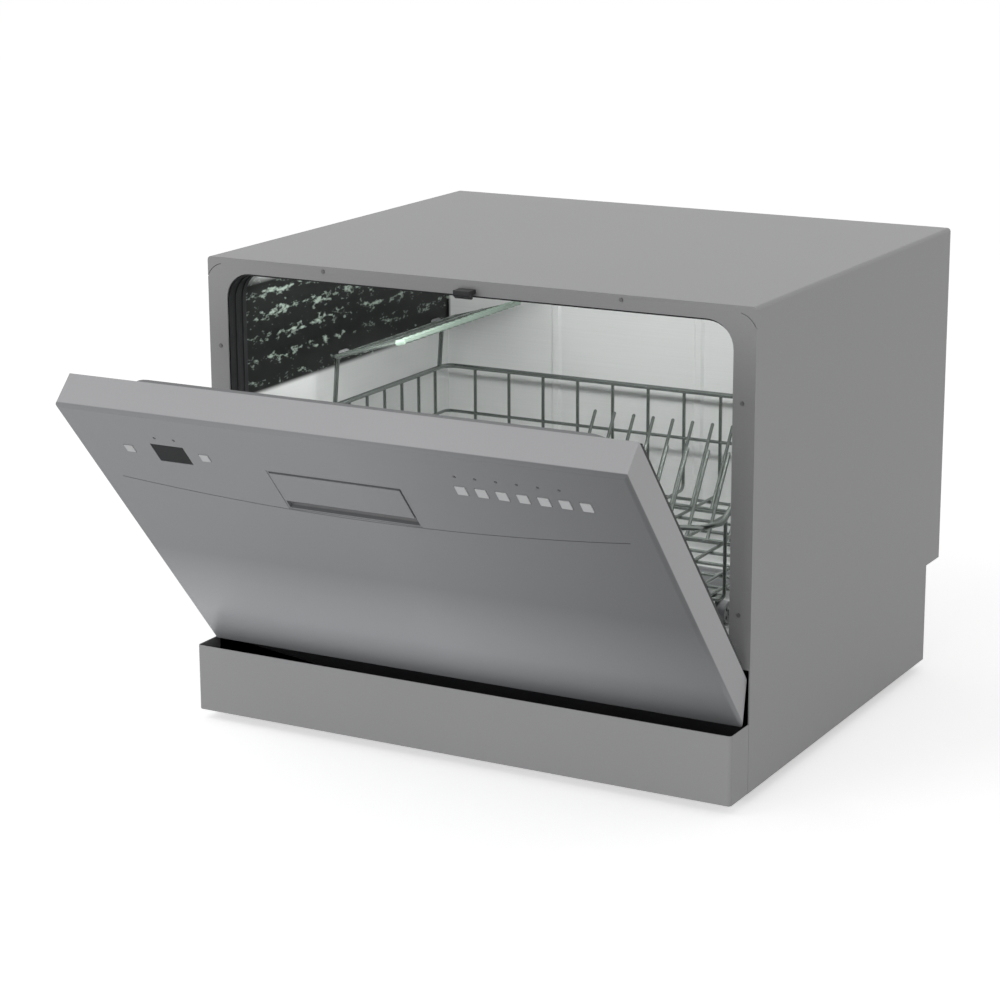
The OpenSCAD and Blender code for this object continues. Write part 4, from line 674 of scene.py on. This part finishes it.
def rackPieces(r):
    wire = wireValues(r["wireRadius"], "rackCoat", r["bend"])
    h, cut, front, rear = r["half"], r["cornerCut"], r["front"], r["rear"]
    rim = []
    for side in (1, -1):
        corner = [at(side * (h - cut), front, r["rimFront"]),
                  at(side * (h - cut / 4), front + cut / 3, r["rimFront"]),
                  at(side * h, front + cut, r["rimFront"]),
                  at(side * h, front + cut + r["rise"], r["rimRear"]),
                  at(side * h, rear, r["rimRear"])]
        rim += corner[::side]
    parts = [bakeWires([rim], wireValues(r["rimRadius"], "rackCoat", r["rimBend"]), closed=True)]
    parts.append(bakeTree(hoopTree, dict(wire, **{
        "Count": r["hoops"], "First": frontPlane + r["firstHoop"] / 1000,
        "Pitch": (r["lastHoop"] - r["firstHoop"]) / (r["hoops"] - 1) / 1000, "Half Width": h / 1000,
        "Floor": r["floor"] / 1000, "Rim Low": r["rimFront"] / 1000, "Rim High": r["rimRear"] / 1000,
        "Rise Start": frontPlane + (front + cut) / 1000, "Rise Length": r["rise"] / 1000})))
    pitch = 2 * (h - cut) / (r["longs"] - 1)
    paths = []
    for i in range(r["longs"]):
        x = -h + cut + i * pitch
        paths.append([at(x, front, r["rimFront"]), at(x, front, r["longFloor"]),
                      at(x, rear, r["longFloor"]), at(x, rear, r["rimRear"])])
    for side in (-1, 1):
        paths.append([at(side * r["clipWire"], front + r["clipWireInset"], r["longFloor"]),
                      at(side * r["clipWire"], rear - r["clipWireInset"], r["longFloor"])])
    paths.append([at(-h, r["firstHoop"], r["midRail"]), at(-h, rear, r["midRail"]),
                  at(h, rear, r["midRail"]), at(h, r["firstHoop"], r["midRail"])])
    railEnd = h - cut + r["frontRailOver"]
    for z in r["frontRails"]:
        paths.append([at(-railEnd, front, z), at(railEnd, front, z)])
    bed, rowEnd = r["floor"] + r["bedLift"], h - r["tineRowInset"]
    for d in r["tineRows"]:
        paths.append([at(-rowEnd, d, bed), at(rowEnd, d, bed)])
    parts.append(bakeWires(paths, wire))
    feet = [[at(r["tineStart"] + i * r["tinePitch"], d, bed)]
            for d in r["tineRows"] for i in range(r["tines"])]
    parts.append(bakeTree(tineTree, {
        "Length": (r["tineLength"] - r["wireRadius"]) / 1000, "Lean": math.radians(r["tineLean"]),
        "Rod Radius": r["wireRadius"] / 1000, "Material": materials["rackCoat"]}, lineMesh(feet)))
    posts = [[at(-h, d, r["rimRear"] + r["postLift"]), at(r["rodX"], d, r["rodZ"])] for d in r["posts"]]
    parts.append(bakeWires(posts, wireValues(r["postRadius"], "rackCoat")))
    rod = [[at(r["rodX"], r["posts"][0] - r["rodOver"], r["rodZ"]),
            at(r["rodX"], r["posts"][1] + r["rodOver"], r["rodZ"])]]
    parts.append(bakeWires(rod, wireValues(r["rodRadius"], "rackCoat")))
    return parts


def solidsOf(node, keep):
    # the separate solids of a node whose bounds pass the test
    work = bmesh.new()
    work.from_mesh(cleanNode(node))
    left, drop = set(work.verts), []
    while left:
        stack, group = [left.pop()], []
        while stack:
            vert = stack.pop()
            group.append(vert)
            for edge in vert.link_edges:
                other = edge.other_vert(vert)
                if other in left:
                    left.discard(other)
                    stack.append(other)
        low = [min(v.co[i] for v in group) for i in range(3)]
        high = [max(v.co[i] for v in group) for i in range(3)]
        if not keep(low, high):
            drop += group
    bmesh.ops.delete(work, geom=drop, context="VERTS")
    mesh = bpy.data.meshes.new(node + "Part")
    work.to_mesh(mesh)
    work.free()
    for material in nodeObjects[node].data.materials:
        mesh.materials.append(material)
    return mesh


def isClip(low, high):
    return high[1] - low[1] < rack["clipDepth"] / 1000 and high[2] < rack["clipTop"] / 1000


clips = bevelled(solidsOf("rack_frame", isClip), rack["clipSoftness"])
rackMesh = joinMeshes("rackWires", rackPieces(rack) + [clips])
finishMesh(rackMesh)
placePiece("rackWires", rackMesh, "rack", ("rack_frame",))
print("rack made:", len(rackMesh.polygons), "faces")

# screws: head middles in millimetres from the front frame's plane, and whether they face back or forth
screws = {
    "casing_screws": {"name": "casingScrews", "body": "cabinet", "finish": "paintedScrew", "places": [
        (-149.6, 0, 433.4, -1), (149.6, 0, 433.4, -1), (-263.15, 0, 355, -1), (263.15, 0, 355, -1),
        (-263.15, 0, 170, -1), (263.15, 0, 170, -1), (-253, 462, 418, 1), (253, 462, 418, 1)],
        "size": {"Head Radius": 0.0034, "Head Height": 0.0013, "Shank Radius": 0.0017,
                 "Shank Length": 0.0078}},
    "door_screws": {"name": "doorScrews", "body": "door", "finish": "platedSteel", "places": [
        (side * 250, -3.4, z, 1) for side in (-1, 1) for z in (417.6, 283.6, 165)],
        "size": {"Head Radius": 0.003, "Head Height": 0.0013, "Shank Radius": 0.0016,
                 "Shank Length": 0.0095}},
}


def screwPiece(node, s):
    verts, facing = [], []
    for x, d, z, forth in s["places"]:
        way = Vector((0, forth, 0))
        spot = at(x, d, z) + way * s["size"]["Head Height"] / 2
        if s["body"] == "door":
            spot, way = doorTurn @ spot, doorTurn.to_3x3() @ way
        verts.append(tuple(spot))
        facing += list(way)
    mesh = bpy.data.meshes.new(s["name"] + "Places")
    mesh.from_pydata(verts, [], [])
    mesh.attributes.new("facing", "FLOAT_VECTOR", "POINT").data.foreach_set("vector", facing)
    values = dict(s["size"], Material=materials[s["finish"]])
    placePiece(s["name"], bakeTree(screwTree, values, mesh), s["body"], (node,))


for node, setup in screws.items():
    screwPiece(node, setup)

# counterbalance springs round the hinge pins, each with a leg to the rear, in millimetres
spring = {
    "x": 256.1, "depth": -15, "z": 113, "length": 5.6, "turns": 4.0, "radius": 5.8, "wire": 0.65, "sides": 8,
    "legX": 261, "legStart": (-13, 118.6), "legEnd": (23, 119),
}


def springPiece(s):
    spots = lineMesh([[at(s["x"], s["depth"], s["z"])], [at(-s["x"] - s["length"], s["depth"], s["z"])]])
    coils = bakeTree(coilTree, {
        "Turns": s["turns"], "Coil Radius": s["radius"] / 1000, "Length": s["length"] / 1000,
        "Wire Radius": s["wire"] / 1000, "Material": materials["platedSteel"]}, spots)
    legs = [[at(side * s["legX"], *s["legStart"]), at(side * s["legX"], *s["legEnd"])] for side in (-1, 1)]
    ends = bakeWires(legs, wireValues(s["wire"], "platedSteel", sides=s["sides"]))
    placePiece("hingeCoils", joinMeshes("hingeCoils", [coils, ends]), "cabinet", ("hinge_springs",))


springPiece(spring)
print("screws and springs made")

# the folding cup shelf, in millimetres in its own tilted plane; a block's size is its width, length and height
shelf = {
    "tilt": 16, "width": 82, "d0": 132.5, "d1": 363.5, "endGap": 2, "bars": 10, "barStart": 6, "barOver": 1,
    "railRadius": 2.2, "rails": (8, 41), "bandSize": (11, 231, 3.6), "ribSize": (10.4, 3.2, 5.8),
    "bandSoftness": 0.0008, "clips": (158.5, 336.5), "clipLength": 10, "clipRadius": 3.9, "clipSides": 24,
    "tongueX": 5, "tongueSize": (8, 9.6, 3.8), "clipSoftness": 0.0005,
}


def shelfPiece(s, r):
    lean = math.radians(s["tilt"])
    turned = Matrix.Rotation(-lean, 4, "Y")

    def spot(x, d):
        return at(r["rodX"] + x * math.cos(lean), d, r["rodZ"] + x * math.sin(lean))

    def addBlock(work, x, d, size):
        made = bmesh.ops.create_cube(work, size=1.0)
        bmesh.ops.scale(work, vec=[v / 1000 for v in size], verts=made["verts"])
        bmesh.ops.transform(work, matrix=Matrix.Translation(spot(x, d)) @ turned, verts=made["verts"])

    def endBlocks(work, name, finish, softness):
        mesh = bpy.data.meshes.new(name)
        work.to_mesh(mesh)
        work.free()
        mesh.materials.append(materials[finish])
        return bevelled(mesh, softness)

    first = s["d0"] + s["endGap"]
    step = (s["d1"] - s["endGap"] - first) / (s["bars"] - 1)
    bars = [[spot(s["barStart"], first + i * step), spot(s["width"] - s["barOver"], first + i * step)]
            for i in range(s["bars"])]
    rails = [[spot(x, s["d0"]), spot(x, s["d1"])] for x in s["rails"]]
    parts = [bakeWires(bars, wireValues(r["wireRadius"], "shelfCoat")),
             bakeWires(rails, wireValues(s["railRadius"], "shelfCoat"))]
    # the band is a ribbed plastic strip, and each clip is a ring with a tongue
    work = bmesh.new()
    addBlock(work, s["width"], (s["d0"] + s["d1"]) / 2, s["bandSize"])
    for i in range(2 * s["bars"] - 1):
        addBlock(work, s["width"], first + i * step / 2, s["ribSize"])
    parts.append(endBlocks(work, "shelfBand", "bandPlastic", s["bandSoftness"]))
    work = bmesh.new()
    radius = s["clipRadius"] / 1000
    for d in s["clips"]:
        ring = bmesh.ops.create_cone(work, cap_ends=True, segments=s["clipSides"], radius1=radius,
                                     radius2=radius, depth=s["clipLength"] / 1000)
        bmesh.ops.transform(work, matrix=Matrix.Translation(spot(0, d)) @ Matrix.Rotation(math.pi / 2, 4, "X"),
                            verts=ring["verts"])
        addBlock(work, s["tongueX"], d, s["tongueSize"])
    parts.append(endBlocks(work, "shelfClips", "greyPlastic", s["clipSoftness"]))
    mesh = joinMeshes("cupShelf", parts)
    placePiece("cupShelf", mesh, "cup_shelf", ("cup_shelf",))
    print("cup shelf made:", len(mesh.polygons), "faces")


shelfPiece(shelf, rack)

# a bright floor and sky; what the camera sees of them differs from the light they give
stageSetup = {
    "floorSize": 60.0, "floorColor": (0.9, 0.9, 0.9, 1), "seenFloor": (1.0, 1.0, 1.0, 1), "floorGlow": 0.5,
    "bounceGlow": 0.2, "skyLevel": 0.5, "seenSky": 1.0, "white": (1, 1, 1, 1),
}


def makeFloor(setup):
    half = setup["floorSize"] / 2
    mesh = bpy.data.meshes.new("floor")
    corners = [(-half, -half, 0), (half, -half, 0), (half, half, 0), (-half, half, 0)]
    mesh.from_pydata(corners, [], [(0, 1, 2, 3)])
    floor = bpy.data.objects.new("floor", mesh)
    scene.collection.objects.link(floor)
    material = bpy.data.materials.new("paleFloor")
    material.use_nodes = True
    tree = material.node_tree
    tree.nodes.clear()
    ray = tree.nodes.new("ShaderNodeLightPath")
    plain = addNode(tree, "ShaderNodeBsdfDiffuse", {"Color": setup["floorColor"]})
    bright = addNode(tree, "ShaderNodeBsdfDiffuse", {"Color": setup["seenFloor"]})
    glow = addNode(tree, "ShaderNodeEmission", {"Color": setup["white"], "Strength": setup["floorGlow"]})
    lit = addNode(tree, "ShaderNodeAddShader", {0: bright.outputs[0], 1: glow.outputs[0]})
    # the floor sends some light up under the tilted door
    bounce = addNode(tree, "ShaderNodeEmission", {"Color": setup["white"], "Strength": setup["bounceGlow"]})
    raised = addNode(tree, "ShaderNodeAddShader", {0: plain.outputs[0], 1: bounce.outputs[0]})
    mixed = addNode(tree, "ShaderNodeMixShader", {0: ray.outputs["Is Camera Ray"], 1: raised.outputs[0],
                    2: lit.outputs[0]})
    out = tree.nodes.new("ShaderNodeOutputMaterial")
    tree.links.new(mixed.outputs[0], out.inputs["Surface"])
    mesh.materials.append(material)


def makeWorld(setup):
    world = bpy.data.worlds.new("studio")
    scene.world = world
    world.use_nodes = True
    tree = world.node_tree
    tree.nodes.clear()
    ray = tree.nodes.new("ShaderNodeLightPath").outputs
    mirrored = addMath(tree, "MAXIMUM", ray["Is Camera Ray"], ray["Is Glossy Ray"])
    seen = addMath(tree, "MAXIMUM", mirrored, ray["Is Transmission Ray"])
    level = addRange(tree, seen, 0.0, 1.0, setup["skyLevel"], setup["seenSky"])
    sky = addNode(tree, "ShaderNodeBackground", {"Color": setup["white"], "Strength": level})
    out = tree.nodes.new("ShaderNodeOutputWorld")
    tree.links.new(sky.outputs[0], out.inputs["Surface"])


lamps = {
    "keyPanel": {"place": (-1.4, -1.8, 2.6), "aim": (0, 0.1, 0.2), "size": (1.6, 1.6), "power": 15},
    "frontPanel": {"place": (-0.1, -1.5, 0.25), "aim": (0, -0.1, 0.15), "size": (1.0, 0.35), "power": 3.5},
    "tubPanel": {"place": (0.01, -0.062, 0.412), "aim": (0.0, 0.24, 0.23), "size": (0.42, 0.03),
                 "power": 1.5},
}


def makeLamp(name, lamp):
    data = bpy.data.lights.new(name, "AREA")
    data.shape = "RECTANGLE"
    data.size, data.size_y = lamp["size"]
    data.energy = lamp["power"]
    light = bpy.data.objects.new(name, data)
    scene.collection.objects.link(light)
    light.visible_camera = False
    light.visible_glossy = False
    place = Vector(lamp["place"])
    aim = (Vector(lamp["aim"]) - place).to_track_quat("-Z", "Y")
    light.matrix_world = Matrix.Translation(place) @ aim.to_matrix().to_4x4()


makeFloor(stageSetup)
makeWorld(stageSetup)
for lampName, lamp in lamps.items():
    makeLamp(lampName, lamp)
print("stage and lamps made")
